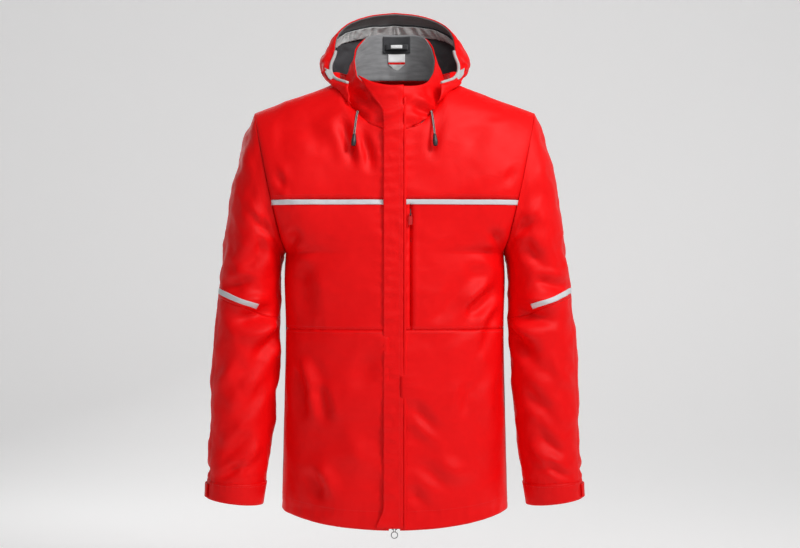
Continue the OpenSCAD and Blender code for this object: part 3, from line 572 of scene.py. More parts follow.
def placeGroup(tree, group, values, links):
    node = tree.nodes.new("ShaderNodeGroup")
    node.node_tree = group
    for label, value in values.items():
        node.inputs[label].default_value = value
    for label, source in links.items():
        tree.links.new(source, node.inputs[label])
    return node


def toneBetween(tree, shader, dark, light, factor):
    tone = tree.nodes.new("ShaderNodeMix")
    tone.data_type = "RGBA"
    tone.inputs["A"].default_value = (*dark, 1)
    tone.inputs["B"].default_value = (*light, 1)
    tree.links.new(factor, tone.inputs["Factor"])
    tree.links.new(tone.outputs["Result"], shader.inputs["Base Color"])


def roughBetween(tree, shader, middle, spread, mask):
    ends = {"To Min": middle - spread, "To Max": middle + spread}
    rough = addNode(tree, "MapRange", ends, {"Value": mask})
    tree.links.new(rough.outputs["Result"], shader.inputs["Roughness"])


def bumpFrom(tree, shader, height, distance, strength=1.0):
    bump = addNode(tree, "Bump", {"Distance": distance, "Strength": strength}, {"Height": height})
    tree.links.new(bump.outputs["Normal"], shader.inputs["Normal"])


# look holds light and dark colours, rough, sheen, specular, threads, fleck, and how deep and wide the
# weave and the crinkles are.
def clothMaterial(name, look):
    material, tree, shader, where = startMaterial(name)
    weave = placeGroup(tree, weaveGroup, {"Threads per metre": look["threads"]},
                       {"Map": where.outputs["UV"]})
    crinkle = placeGroup(tree, crinkleGroup, {"Scale": look["crinkleScale"]},
                         {"Position": where.outputs["Object"]})
    fleck = look.get("fleck", 0.4)
    shade = mathNode(tree, "ADD", mathNode(tree, "MULTIPLY", weave.outputs["Shade"], fleck),
                     mathNode(tree, "MULTIPLY", crinkle.outputs["Soil"], 1 - fleck))
    spread = addNode(tree, "MapRange", {"From Min": 0.3, "From Max": 0.7}, {"Value": shade})
    toneBetween(tree, shader, look["dark"], look["light"], spread.outputs["Result"])
    roughBetween(tree, shader, look["rough"], 0.06, crinkle.outputs["Soil"])
    height = mathNode(tree, "ADD", mathNode(tree, "MULTIPLY", weave.outputs["Height"], look["weaveDepth"]),
                      mathNode(tree, "MULTIPLY", crinkle.outputs["Height"], look["crinkleDepth"]))
    bumpFrom(tree, shader, height, 0.001, 0.6)
    shader.inputs["Sheen Weight"].default_value = look.get("sheen", 0.1)
    shader.inputs["Sheen Roughness"].default_value = 0.5
    shader.inputs["Specular IOR Level"].default_value = look.get("specular", 0.3)
    return material


def hardMaterial(name, light, dark, rough, metal=0.0, scale=300.0):
    material, tree, shader, where = startMaterial(name)
    wear = placeGroup(tree, wearGroup, {"Scale": scale}, {"Position": where.outputs["Object"]})
    toneBetween(tree, shader, dark, light, wear.outputs["Rub"])
    roughBetween(tree, shader, rough, 0.1, wear.outputs["Rub"])
    bumpFrom(tree, shader, wear.outputs["Height"], 0.0002, 0.3)
    shader.inputs["Metallic"].default_value = metal
    return material


redCloth = clothMaterial("redShellCloth", {"light": (0.9, 0.002, 0.003), "dark": (0.82, 0.001, 0.002),
    "rough": 0.5, "sheen": 0.0, "specular": 0.16, "threads": 1700, "weaveDepth": 0.05, "crinkleDepth": 0.9,
    "crinkleScale": 26})
redTrim = clothMaterial("redTrimCloth", {"light": (0.86, 0.002, 0.003), "dark": (0.76, 0.001, 0.002),
    "rough": 0.5, "sheen": 0.0, "specular": 0.16, "threads": 1500, "weaveDepth": 0.08, "crinkleDepth": 1.1,
    "crinkleScale": 44})
redThread = clothMaterial("redThread", {"light": (0.9, 0.02, 0.025), "dark": (0.7, 0.008, 0.01),
    "rough": 0.4, "sheen": 0.1, "threads": 5000, "weaveDepth": 0.2, "crinkleDepth": 0.1, "crinkleScale": 80})
greyLining = clothMaterial("greyLining", {"light": (0.3, 0.3, 0.305), "dark": (0.2, 0.2, 0.208),
    "rough": 0.85, "sheen": 0.35, "specular": 0.2, "threads": 900, "weaveDepth": 0.25, "crinkleDepth": 0.8,
    "crinkleScale": 40, "fleck": 0.8})
paleLining = clothMaterial("paleLining", {"light": (0.66, 0.67, 0.66), "dark": (0.42, 0.43, 0.43),
    "rough": 0.85, "sheen": 0.3, "specular": 0.2, "threads": 900, "weaveDepth": 0.25, "crinkleDepth": 0.9,
    "crinkleScale": 50, "fleck": 0.8})
visorCloth = clothMaterial("visorCloth", {"light": (0.2, 0.2, 0.2), "dark": (0.13, 0.13, 0.132),
    "rough": 0.75, "sheen": 0.2, "specular": 0.25, "threads": 1400, "weaveDepth": 0.1, "crinkleDepth": 0.8,
    "crinkleScale": 40})
# Dark trim cloth for the tapes, pads and neck pieces. On the hood lining the same dark colour is painted
# shade, standing in for the shadow at the back of the hood's hollow.
darkTrimAndPaintedShade = clothMaterial("darkTrimAndPaintedShade", {"light": (0.06, 0.06, 0.065), "dark": (0.03, 0.03, 0.034),
    "rough": 0.7, "sheen": 0.2, "threads": 1200, "weaveDepth": 0.25, "crinkleDepth": 0.3,
    "crinkleScale": 60})
paleTape = clothMaterial("paleTape", {"light": (0.72, 0.72, 0.74), "dark": (0.62, 0.62, 0.65),
    "rough": 0.42, "sheen": 0.0, "specular": 0.5, "threads": 2400, "weaveDepth": 0.06, "crinkleDepth": 0.5,
    "crinkleScale": 50})
whiteLabel = clothMaterial("whiteLabel", {"light": (0.9, 0.9, 0.9), "dark": (0.8, 0.8, 0.8), "rough": 0.5,
    "threads": 2600, "weaveDepth": 0.1, "crinkleDepth": 0.3, "crinkleScale": 60})


cordLook = {"diameter": 3.5, "sides": 16, "repeat": 0.0042, "fleck": 0.32, "dark": (0.012, 0.012, 0.013),
            "light": (0.75, 0.75, 0.74)}


# Braided cord on its own map: u goes round it and v along it in metres.
def cordMaterial():
    material = clothMaterial("fleckedCord", {"light": (0.02, 0.02, 0.022), "dark": (0.01, 0.01, 0.01),
        "rough": 0.65, "threads": 1500, "weaveDepth": 0.1, "crinkleDepth": 0.1, "crinkleScale": 80})
    tree = material.node_tree
    shader = tree.nodes["Principled BSDF"]
    split = addNode(tree, "SeparateXYZ", links={0: tree.nodes.new("ShaderNodeTexCoord").outputs["UV"]})
    turn = mathNode(tree, "MULTIPLY", split.outputs[0], 4 * math.pi)
    climb = mathNode(tree, "MULTIPLY", split.outputs[1], 2 * math.pi / cordLook["repeat"])
    oneWay, otherWay = [mathNode(tree, "SINE", mathNode(tree, sign, turn, climb))
                        for sign in ("ADD", "SUBTRACT")]
    strand = mathNode(tree, "MULTIPLY", oneWay, otherWay)
    fleck = mathNode(tree, "GREATER_THAN", strand, cordLook["fleck"])
    toneBetween(tree, shader, cordLook["dark"], cordLook["light"], fleck)
    bumpFrom(tree, shader, strand, 0.0004)
    return material


fleckedCord = cordMaterial()
blackPlastic = hardMaterial("blackPlastic", (0.035, 0.035, 0.037), (0.018, 0.018, 0.02), 0.45)
redPlastic = hardMaterial("redPlastic", (0.62, 0.006, 0.008), (0.5, 0.003, 0.004), 0.42)
zipPlastic = hardMaterial("zipPlastic", (0.05, 0.05, 0.052), (0.03, 0.03, 0.032), 0.38)
zipMetal = hardMaterial("zipMetal", (0.32, 0.32, 0.33), (0.2, 0.2, 0.21), 0.35, 1.0, 180)
print("materials built")

cordPoints = [(60, -69, 705), (60.4, -74, 704.6), (61, -79, 702), (61.8, -83, 697), (62.6, -87, 691),
              (63.4, -90.5, 684.5), (64.1, -93.5, 678), (64.8, -96, 671.5), (65.4, -98, 665)]
# The end's profile, distance from its start and radius, is set round a line from its start.
cordEnd = {
    "sides": 32, "start": (65.4, -98.1, 664.4), "direction": (0.08, -0.2, -1.0),
    "profile": [(0, 2.0), (0, 2.5), (0.7, 2.8), (6, 3.4), (10, 4.1), (12.5, 4.25), (14, 4.2), (18, 3.6),
                (19, 3.2), (19, 2.2), (17.2, 1.9)],
}


# Cord swept along its points, with its map round and along it.
def tubeAlong(name, points, radius, sides):
    path = np.array(points, float)
    ahead = np.vstack([path[1:] - path[:-1], path[-1:] - path[-2:-1]])
    behind = np.vstack([ahead[:1], ahead[:-1]])
    along = unit(ahead + behind)
    run = runAlong(path)
    side = unit(np.cross(along[0], [0.3, 0.2, 1.0]))
    rings = []
    for p, d in zip(path, along):
        side = unit(side - d * (side @ d))
        other = np.cross(d, side)
        angle = np.linspace(0, 2 * math.pi, sides, endpoint=False)[:, None]
        rings.append(p + radius * (np.cos(angle) * side + np.sin(angle) * other))
    verts = np.vstack(rings + [path[:1], path[-1:]])
    faces, corners = [], []
    for k in range(len(path) - 1):
        for s in range(sides):
            t = (s + 1) % sides
            faces.append((k * sides + s, k * sides + t, (k + 1) * sides + t, (k + 1) * sides + s))
            corners += [(s / sides, run[k] * mm), ((s + 1) / sides, run[k] * mm),
                        ((s + 1) / sides, run[k + 1] * mm), (s / sides, run[k + 1] * mm)]
    low, high, last = len(path) * sides, len(path) * sides + 1, (len(path) - 1) * sides
    for s in range(sides):
        t = (s + 1) % sides
        faces += [(low, t, s), (high, last + s, last + t)]
        corners += [(0, 0)] * 3 + [(0, run[-1] * mm)] * 3
    piece = newPiece(name, verts, faces, corners)
    bpy.ops.object.shade_smooth()
    return piece


def sideName(side):
    return "left" if side > 0 else "right"


def finePath(points, each=4):
    pts = np.array(points, float)
    run = runAlong(pts)
    s = np.linspace(0, run[-1], each * (len(pts) - 1) + 1)
    return np.stack([curveTable(s, run, pts[:, i]) for i in range(3)], -1)


# Conical cord end: a circle is extruded once for each point of the profile, and its rings are set in place.
def latheEnd(name, side):
    direction = unit(np.array(cordEnd["direction"]) * (side, 1, 1))
    start = np.array(cordEnd["start"]) * (side, 1, 1)
    across = unit(np.cross(direction, [0, 0.4, 1]))
    other = np.cross(direction, across)
    sides, profile = cordEnd["sides"], cordEnd["profile"]
    clearSelection()
    bpy.ops.mesh.primitive_circle_add(vertices=sides, radius=1, fill_type="NOTHING")
    piece = bpy.context.object
    piece.name = name
    editAll(*[bpy.ops.mesh.extrude_region_move] * (len(profile) - 1))
    for i, (h, r) in enumerate(profile):
        for s in range(sides):
            angle = 2 * math.pi * s / sides
            p = start + direction * h + r * (math.cos(angle) * across + math.sin(angle) * other)
            piece.data.vertices[i * sides + s].co = toFrame(p)
    editAll(lambda: bpy.ops.mesh.select_all(action="DESELECT"), bpy.ops.mesh.select_non_manifold,
            lambda: bpy.ops.mesh.fill_holes(sides=0), lambda: bpy.ops.mesh.select_all(action="SELECT"),
            faceOutwards)
    bpy.ops.object.shade_smooth_by_angle(angle=math.radians(40))
    return piece


def addDrawcords():
    for side in (1, -1):
        points = [(x * side, y, z) for x, y, z in cordPoints]
        fine = finePath(points)
        length = float(runAlong(fine)[-1])
        cord = tubeAlong("cord_" + sideName(side), fine, cordLook["diameter"] / 2, cordLook["sides"])
        finishPiece(cord, fleckedCord, "root", "cord_fleck", "drawcord_" + sideName(side))
        end = latheEnd("cordEnd_" + sideName(side), side)
        finishPiece(end, blackPlastic, "root", "black_plastic")
        tuple(toFrame(fine[0]))
        [tuple(p) for p in toFrame(fine)]
    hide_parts("cord_ends")


addDrawcords()
print("drawcords hung")


# u runs from the middle to x1, or to the side seam where x1 is None, and v from h0 up to h1.
def bodyPlace(x0, x1, h0, h1, side, back):
    def place(u, v):
        s = u if (side > 0) != back else 1 - u  # turned round on one half, so that faces point outwards
        h = mix(h0, h1, v)
        if x1 is None:
            wide = bodyHalf(np.minimum(h, body["yoke"]))
            x = x0 + (wide - x0) * np.sin(s * math.pi / 2)
        else:
            x = mix(x0, x1, s)
        p = bodyPoint(x, h, back)
        p[..., 0] *= side
        return p
    return place


# Even steps of v give even steps of length up the rounded yoke.
def yokeRise(v):
    return body["yoke"] + np.sin(v * math.pi / 2) ** 0.9


# As bodyPlace, over the whole yoke, or between two heights and a little short of the side.
def yokePlace(x0, side, back, short=0.0, heights=None):
    def place(u, v):
        s = u if (side > 0) != back else 1 - u
        h = mix(*heights, v) if heights else yokeRise(np.clip(v, 0, 1))
        x = x0 + (yokeHalf - short - x0) * np.sin(s * math.pi / 2)
        p = bodyPoint(x, h, back)
        p[..., 0] *= side
        return p
    return place


clothThickness = 1.6  # of the red shell


def addBodyPanels():
    start, seam, hem, waist, yoke = [body[k] for k in ("frontGap", "pocketSeam", "hem", "waist", "yoke")]
    for side in (1, -1):
        tag = sideName(side)
        panels = [("frontLower", bodyPlace(start, None, hem, waist, side, False), 48, 76, "front_lower"),
                  ("frontYoke", yokePlace(start, side, False), 56, 44, "front_yoke")]
        if side > 0:
            chest = bodyPlace(seam, None, waist, yoke, side, False)
            placket = bodyPlace(start, seam, waist, yoke, side, False)
            panels += [("frontChest", chest, 44, 52, "front_chest"),
                       ("frontPlacket", placket, 8, 52, "front_placket")]
        else:
            chest = bodyPlace(start, None, waist, yoke, side, False)
            panels.append(("frontChest", chest, 50, 52, "front_chest"))
        for name, place, cols, rows, node in panels:
            piece = clothPanel(name + "_" + tag, drapedBody(place, False), cols, rows, clothThickness)
            finishPiece(piece, redCloth, "root", "red_shell", node + "_" + tag)
    for name, heights, rows, node in (("backPanel", (hem, yoke), 110, "back_panel"),
                                      ("backYoke", None, 46, "back_yoke")):
        halves = []
        for side in (1, -1):
            place = bodyPlace(0, None, *heights, side, True) if heights else yokePlace(0, side, True)
            halves.append(clothPanel(name, drapedBody(place, True), 52, rows, 0))
        piece = joinPieces(name, halves)
        giveThickness(piece, clothThickness)
        finishPiece(piece, redCloth, "root", "red_shell", node)


pocket = {"near": 36, "far": 128, "low": 356, "high": 544, "behind": 10.5, "slack": 1.2, "thickness": 1.4}


def addPocketBag():
    place = bodyPlace(pocket["near"], pocket["far"], pocket["low"], pocket["high"], 1, False)

    def point(u, v):
        p = place(u, v)
        depth = pocket["slack"] * unevenness(p, 40, 8.0) - pocket["behind"]
        return p + surfaceNormal(place, u, v) * depth[..., None]
    bag = clothPanel("pocketBag", point, 24, 44, pocket["thickness"])
    finishPiece(bag, greyLining, "root", "lining_grey", "pocket_bag")


def joinPieces(name, pieces, merge=True):
    clearSelection()
    for piece in pieces:
        piece.select_set(True)
    bpy.context.view_layer.objects.active = pieces[0]
    bpy.ops.object.join()
    piece = bpy.context.object
    piece.name = name
    if merge:
        mergePoints(0.0001)
    bpy.ops.object.shade_smooth()
    return piece


addBodyPanels()
addPocketBag()
print("body panels sewn")

chestStripe = {"starts": {1: 16, -1: 9}, "short": 0.5, "heights": (550, 557.99), "rise": 0.9,
               "thickness": 0.8}


def addChestStripes():
    for side, start in chestStripe["starts"].items():
        place = yokePlace(start, side, False, chestStripe["short"], chestStripe["heights"])
        piece = clothPanel("chestStripe_" + sideName(side), drapedBody(place, False, chestStripe["rise"]),
                           60, 5, chestStripe["thickness"], cut=False)
        finishPiece(piece, paleTape, "root", "reflective_light", "chest_stripe_" + sideName(side))


addChestStripes()

lining = {"start": 12, "low": 40, "high": 558.94, "inAtHem": 8, "in": 15, "slack": 1.2, "thickness": 1.2}


def liningPoint(back, side):
    h0, h1 = lining["low"], lining["high"]
    outer = bodyPlace(lining["start"], None, h0, h1, side, back)

    def point(u, v):
        p = outer(u, v)
        tuck = mix(lining["inAtHem"], lining["in"], smooth((mix(h0, h1, v) - 54) / 60))
        n = surfaceNormal(outer, u, v)
        n[..., 2] *= 0.4
        return p - n * (tuck + lining["slack"] * unevenness(p, 70, 3.0))[..., None]
    return point


def addLining():
    halves = [clothPanel("bodyLining", liningPoint(back, side), 34, 80, 0)
              for side in (1, -1) for back in (False, True)]
    piece = joinPieces("bodyLining", halves, False)
    giveThickness(piece, lining["thickness"])
    finishPiece(piece, greyLining, "root", "lining_grey", "body_lining")


addLining()

# As the folds above, on the collar's front.
collarFolds = [(-72, 744, -34, 694, 7, -2.6), (-64, 726, -30, 680, 8, 2.2), (26, 716, 76, 694, 7, -2.6),
               (28, 730, 80, 712, 8, 2.2), (34, 694, 72, 680, 6, -2)]
collar = {"start": 6.1, "thickness": 2.0, "liningStart": 12, "liningHigh": 0.97, "liningIn": 2.8,
          "liningBackRise": 0.055, "liningThickness": 1.2}


def collarShape(low, high, start, inside, backRise=0.0):
    def place(u, v):
        a = mix(start, 360 - start, u)
        m = np.where(a > 180, 360 - a, a)
        p = collarPoint(m, mix(low, high + backRise * smooth((m - 112) / 20), v))
        p[..., 0] *= np.where(a > 180, -1, 1)
        return p

    def point(u, v):
        p = place(u, v)
        n = surfaceNormal(place, u, v)
        a = mix(start, 360 - start, u)
        front = smooth((60 - np.minimum(a, 360 - a)) / 50)
        d = 1.1 * unevenness(p, 42, 1.0) + front * 2.2 * np.sin(p[..., 2] * 0.19 + p[..., 0] * 0.05)
        aboveSeam = p[..., 2] - neckSeam(np.minimum(a, 360 - a))[..., 2]
        d = d + puckers(aboveSeam, p[..., 0] + p[..., 1], 17, 0.9, 9)
        d = d + foldHeight(p[..., 0], p[..., 2], collarFolds) * (p[..., 1] < 0)
        edge = smooth((v - 0.93) / 0.07)
        return p + n * (d * (1 - 0.5 * edge) - inside)[..., None]
    return point


def addCollar():
    outerShape = collarShape(0.0, 1.0, collar["start"], 0)
    outer = clothPanel("collarOuter", outerShape, 130, 26, collar["thickness"])
    finishPiece(outer, redCloth, "root", "red_shell", "collar_outer")
    innerShape = collarShape(0.0, collar["liningHigh"], collar["liningStart"], collar["liningIn"],
                             collar["liningBackRise"])
    inner = clothPanel("collarLining", innerShape, 120, 24, collar["liningThickness"])
    finishPiece(inner, greyLining, "root", "lining_grey", "collar_lining")


addCollar()
print("collar and lining in")


hoodSeam = {"share": 0.42, "length": 190, "width": 2.2, "depth": 1.4}


def hoodShape(t0, t1, v0, v1, inside=0.0, gather=0.0, setBack=0.0):
    def place(u, v):
        t = mix(t0, t1, u)
        return hoodPoint(t, mix(v1, v0 + setBack * smooth((np.abs(t) - 0.6) / 0.25), v))

    def point(u, v):
        p = place(u, v)
        n = surfaceNormal(place, u, v)
        t, down = mix(t0, t1, u), mix(v1, v0, v)
        loose = smooth(down / 0.25) * smooth((1.02 - down) / 0.1)
        d = loose * (3.2 * unevenness(p, 75, 1.0) + 1.1 * unevenness(p, 30, 4.0)) + 0.2 * unevenness(p, 13)
        offSeam = (np.abs(t) - hoodSeam["share"]) * hoodSeam["length"]
        d = d + seamDip(offSeam, hoodSeam["width"], hoodSeam["depth"])
        if gather:
            wave = np.sin(t * 150 + 1.6 * np.sin(t * 31) + 1.2 * np.sin(t * 57) + 2.6 * v * np.sign(t))
            d = d + gather * wave * np.sin(math.pi * v) ** 0.7
        return p + n * (d - inside)[..., None]
    return point


# For each piece: from and to round the hood, from its rim to its neck, how far inside, its gathers and the
# set-back of its upper edge; then grid, thickness, whether its cut is measured, finish, body, slot, node.
hoodPieces = {
    "hoodCentre": ((0.42, -0.42, 0.0, 0.86), 70, 64, 1.8, True, redCloth, "hood", "red_shell",
                   "hood_centre_panel"),
    "hoodSide_left": ((1.0, 0.42, 0.0, 0.86), 50, 54, 1.8, True, redCloth, "hood", "red_shell",
                      "hood_side_left"),
    "hoodSide_right": ((-0.42, -1.0, 0.0, 0.86), 50, 54, 1.8, True, redCloth, "hood", "red_shell",
                       "hood_side_right"),
    # The hood lining is painted dark as painted shade for the back of the hollow; the cloth itself is the
    # pale lining, as on the piece below it.
    "hoodLining": ((0.72, -0.72, 0.13, 0.6, 4.2, 0.0, 0.1), 120, 40, 1.2, True, darkTrimAndPaintedShade, "hood",
                   "dark_fabric", "hood_lining"),
    "hoodLiningLow": ((0.8, -0.8, 0.59, 0.86, 4.6), 120, 24, 1.2, True, paleLining, "hood", "light_lining"),
    "hoodVisor": ((0.64, -0.64, 0.0, 0.15, 2.2), 90, 10, 1.6, False, visorCloth, "hood", "dark_fabric",
                  "hood_visor"),
    "hoodGatheredBand": ((0.66, -0.66, 0.14, 0.245, 7.5, 2.4), 420, 16, 1.4, False, paleLining, "hood",
                         "light_lining", "hood_gathered_band"),
    "hoodBase": ((1.0, -1.0, 0.86, 0.99), 140, 10, 1.8, True, redCloth, "root", "red_shell", "hood_base"),
}
piping = {"radius": 2.7, "sides": 12, "points": 70, "above": 0.9, "inwards": 2.8, "from": 0.98, "to": 0.6}


def addHood():
    for name, (shape, cols, rows, thickness, cut, material, bodyName, slot, *node) in hoodPieces.items():
        piece = clothPanel(name, hoodShape(*shape), cols, rows, thickness, cut=cut)
        finishPiece(piece, material, bodyName, slot, *node)
    sides = []
    for ends in ((piping["from"], piping["to"]), (-piping["to"], -piping["from"])):
        t = np.linspace(*ends, piping["points"])
        rim = hoodPoint(t, np.zeros(piping["points"])) + np.array([0, 0, piping["above"]])
        rim[:, 0] -= np.sign(t) * piping["inwards"]
        sides.append(tubeAlong("hoodPiping", rim, piping["radius"], piping["sides"]))
    finishPiece(joinPieces("hoodPiping", sides, False), paleLining, "hood", "light_lining", "hood_piping")


addHood()
print("hood made")


sleeveSeam = {"angle": 62, "perDegree": 1.1, "width": 2.0, "depth": 1.0}


def sleeveShape(k0, k1, side, a0=-90.0, a1=270.0, lift=0.0, folds=True):
    def place(u, v):
        s = u if side > 0 else 1 - u
        p = sleevePoint(mix(k1, k0, v), mix(a0, a1, s))
        p[..., 0] *= side
        return p

    def point(u, v):
        p = place(u, v)
        n = surfaceNormal(place, u, v)
        k, a = mix(k1, k0, v), mix(a0, a1, u if side > 0 else 1 - u)
        d = np.zeros(np.shape(u))
        if folds:
            fade = smooth(k / 0.7) * smooth((11.3 - k) / 0.8)
            for turn in (-360, 0, 360):
                d = d + foldHeight(k * rowLength, a + turn, sleeveFolds, 1.05)
            d = (d + 1.6 * unevenness(p, 95, side * 1.0) + 0.6 * unevenness(p, 36, side * 2.0)) * fade
            d = d + 0.16 * unevenness(p, 14, 3.0)
            offSeam = (a - sleeveSeam["angle"]) * sleeveSeam["perDegree"]
            d = d + seamDip(offSeam, sleeveSeam["width"], sleeveSeam["depth"]) * smooth((k - 1.5) / 0.4)
        d = d + puckers((k - cuffRow) * rowLength, a * sleeveSeam["perDegree"], 14, 0.5, 12) * (k > 8)
        return p + n * (d + lift)[..., None]
    return point


armhole = {"start": (236.9, 0.0, 710.0), "normal": (0.9764, 0.0, -0.2161), "width": 10.0}
elbow = {"from": (245.0, 0, 379.0), "to": (276.0, 0, 292.0)}
sleeve = {"bandRows": (5.72, 5.9), "bandAngles": (-22, 172), "bandRise": 0.9, "bandThickness": 0.7,
          "liningIn": 3.6, "liningThickness": 1.2, "cuffRise": 1.6, "cuffThickness": 3.0,
          "tabRows": (11.08, 11.92), "tabAngles": (62, 150), "tabRise": 4.8, "tabThickness": 2.2}


def cuffShape(side):
    return sleeveShape(cuffRow - 0.08, cuffRow + 1, side, lift=sleeve["cuffRise"], folds=False)


def addSleeves():
    for side in (1, -1):
        tag = sideName(side)
        mirror = np.array([side, 1, 1])
        arm, forearm = "arm_" + tag, "forearm_" + tag
        upper = clothPanel("sleeveUpper_" + tag, sleeveShape(0.0, elbowRow, side), 96, 110, clothThickness,
                           wrap=True, size=(0.4, 0.32))
        finishPiece(upper, redCloth, None, "red_shell", "sleeve_upper_" + tag)
        start, out = np.array(armhole["start"]) * mirror, np.array(armhole["normal"]) * mirror
        tuple(toFrame(start))
        tuple(toFrame(start + out * armhole["width"]))
        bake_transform(upper)
        bend = {"start": tuple(toFrame(elbow["from"] * mirror)), "end": tuple(toFrame(elbow["to"] * mirror))}
        lower = clothPanel("sleeveLower_" + tag, sleeveShape(elbowRow, cuffRow, side), 92, 84,
                           clothThickness, wrap=True, size=(0.34, 0.3))
        finishPiece(lower, redCloth, None, "red_shell", "sleeve_lower_" + tag)
        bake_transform(lower)
        inside = sleeveShape(elbowRow + 0.2, cuffRow + 0.8, side, lift=-sleeve["liningIn"])
        inner = clothPanel("sleeveLining_" + tag, inside, 64, 50, sleeve["liningThickness"], wrap=True)
        finishPiece(inner, greyLining, None, "lining_grey", "sleeve_lining_" + tag)
        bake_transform(inner)
        bandPlace = sleeveShape(*sleeve["bandRows"], side, *sleeve["bandAngles"], sleeve["bandRise"])
        band = clothPanel("sleeveBand_" + tag, bandPlace, 80, 6, sleeve["bandThickness"], cut=False)
        finishPiece(band, paleTape, arm, "reflective_light", "sleeve_band_" + tag)
        cuff = clothPanel("cuff_" + tag, cuffShape(side), 92, 14, sleeve["cuffThickness"], wrap=True,
                          cut=False)
        finishPiece(cuff, redTrim, forearm, "red_shell", "cuff_" + tag)
        tabPlace = sleeveShape(*sleeve["tabRows"], side, *sleeve["tabAngles"], sleeve["tabRise"], False)
        tab = clothPanel("cuffTab_" + tag, tabPlace, 40, 12, sleeve["tabThickness"], cut=False)
        finishPiece(tab, redTrim, "tab_" + tag, "red_shell", "cuff_tab_" + tag)


addSleeves()
print("sleeves set in")


flap = {
    "free": 18, "topFree": 40, "sewn": 14.4, "turn": 700, "low": 27.5, "thickness": 2.6, "roundNeck": 78,
    "neckReach": 84, "topRise": 20, "footIn": 12,
    "crumples": ((684, 7, -4), (671, 7, 3), (714, 6, -4), (703, 7, 3), (729, 7, 1.6)),  # at, width, height
}


def flapShape():
    def place(u, v):
        z = mix(flap["low"], body["collarFront"], v)
        top = np.clip((z - flap["turn"]) / (body["collarFront"] - flap["turn"]), 0, 1)
        x = mix(-flap["free"] - flap["topFree"] * top**1.3, flap["sewn"], u)
        roundNeck = 1 - np.sqrt(1 - np.minimum(0.9, np.abs(x) / flap["neckReach"]) ** 2)
        y = frontLine(z) + smooth((z - 630) / 60) * flap["roundNeck"] * roundNeck
        rise = flap["topRise"] * (x / 60) ** 2 * np.clip((z - flap["turn"]) / 40, 0, 1)
        return np.stack([x, y - 1.0, z + rise], -1)

    def point(u, v):
        p = place(u, v)
        n = surfaceNormal(place, u, v)
        z, x = p[..., 2], p[..., 0]
        ripple = np.sin(z * 0.33 + 1.8 * np.sin(z * 0.043))
        d = 0.5 * unevenness(p, 40, 6.0) + 0.7 * ripple * smooth((14 - x) / 20)
        for middle, wide, high in flap["crumples"]:
            d = d + high * np.exp(-((z - middle - 0.25 * x) / wide) ** 2)
        corner = smooth((70 - z) / 40) * smooth((0 - x) / 18)
        d = d + 2.5 * corner + puckers(u * 33 - 33, z, 16, 0.5, 8) + 0.3 * unevenness(p, 14, 2.0)
        p = p + n * (np.maximum(d, -0.6) + flap["thickness"])[..., None]
        p[..., 0] -= flap["footIn"] * smooth((62 - z) / 36) * smooth((2 - x) / 20)
        return p
    return point


def addFlap():
    piece = clothPanel("stormFlap", flapShape(), 18, 190, flap["thickness"], size=(0.04, 0.73))
    finishPiece(piece, redCloth, "flap", "red_shell", "storm_flap")


addFlap()
print("storm flap on")


neckCentre = 3  # the pieces inside the back of the neck sit this far from the middle
# Low and high edge, half width, distance before the collar, bow; then grid, thickness, finish, slot, node.
neckPieces = {
    "neckPatch": ((822, 851, 24, 5.4, 0.0), 20, 12, 0.8, darkTrimAndPaintedShade, "dark_fabric"),
    "hangingLoop": ((828, 837, 19, 6.2, 7.5), 28, 6, 1.2, darkTrimAndPaintedShade, "dark_fabric", "hanging_loop"),
    "loopPatch": ((829.5, 835.4, 13.5, 9.6, 5.6), 20, 4, 0.4, whiteLabel, "label_white"),
    "neckLabel": ((806.6, 820.6, 14.7, 5.6, 0.0), 16, 8, 0.6, whiteLabel, "label_white", "neck_label"),
    "labelEdge": ((803, 806.6, 14.7, 5.5, 0.0), 16, 3, 0.6, redTrim, "red_shell"),
    "labelTab": ((791, 803, 14.7, 5.3, 0.0), 16, 8, 0.6, paleLining, "light_lining"),
}


def neckShape(low, high, half, inside, bow, pointed):
    foot = body["neckSide"] + body["neckBackRise"]

    def point(u, v):
        u = 1 - u  # turned round, so that faces point forwards
        z = mix(low, high, v)
        x = neckCentre + half * (2 * u - 1) * (np.minimum(1, v * 0.96 + 0.04) if pointed else 1)
        share = (z - foot) / (body["collarBack"] - foot)
        a = 180 - np.degrees(np.arcsin(np.abs(x) / mix(body["neckHalfWidth"], body["collarHalf"], share)))
        y = collarPoint(a, share)[..., 1] - inside - bow * np.sqrt(np.maximum(0, 1 - (2 * u - 1) ** 2))
        return np.stack([x, y - 0.3 * unevenness(np.stack([x, z, z], -1), 16), z], -1)
    return point


def addNeckPieces():
    for name, (shape, cols, rows, thickness, material, slot, *node) in neckPieces.items():
        place = neckShape(*shape, pointed=name == "labelTab")
        finishPiece(clothPanel(name, place, cols, rows, thickness, cut=False), material, "root", slot, *node)


addNeckPieces()


# Tapes, pads and strips, rounded and creased from their solids: node, body, finish, slot, rounding, crease.
softStrips = {
    "zipTapes": ("zip_tapes", "root", darkTrimAndPaintedShade, "dark_fabric", 0.25, 0.12),
    "zipGuard": ("zip_guard", "root", darkTrimAndPaintedShade, "dark_fabric", 0.4, 0.3),
    "pocketTapes": ("pocket_tapes", "root", darkTrimAndPaintedShade, "dark_fabric", 0.2, 0.1),
    "flapHookPads": ("flap_hook_pads", "flap", darkTrimAndPaintedShade, "dark_fabric", 0.12, 0.0),
    "flapLoopPads": ("flap_loop_pads", "root", darkTrimAndPaintedShade, "dark_fabric", 0.1, 0.0),
    "flapSeamStrip": ("flap_seam_strip", "root", redCloth, "red_shell", 0.8, 0.3),
}
stripPitch = 8


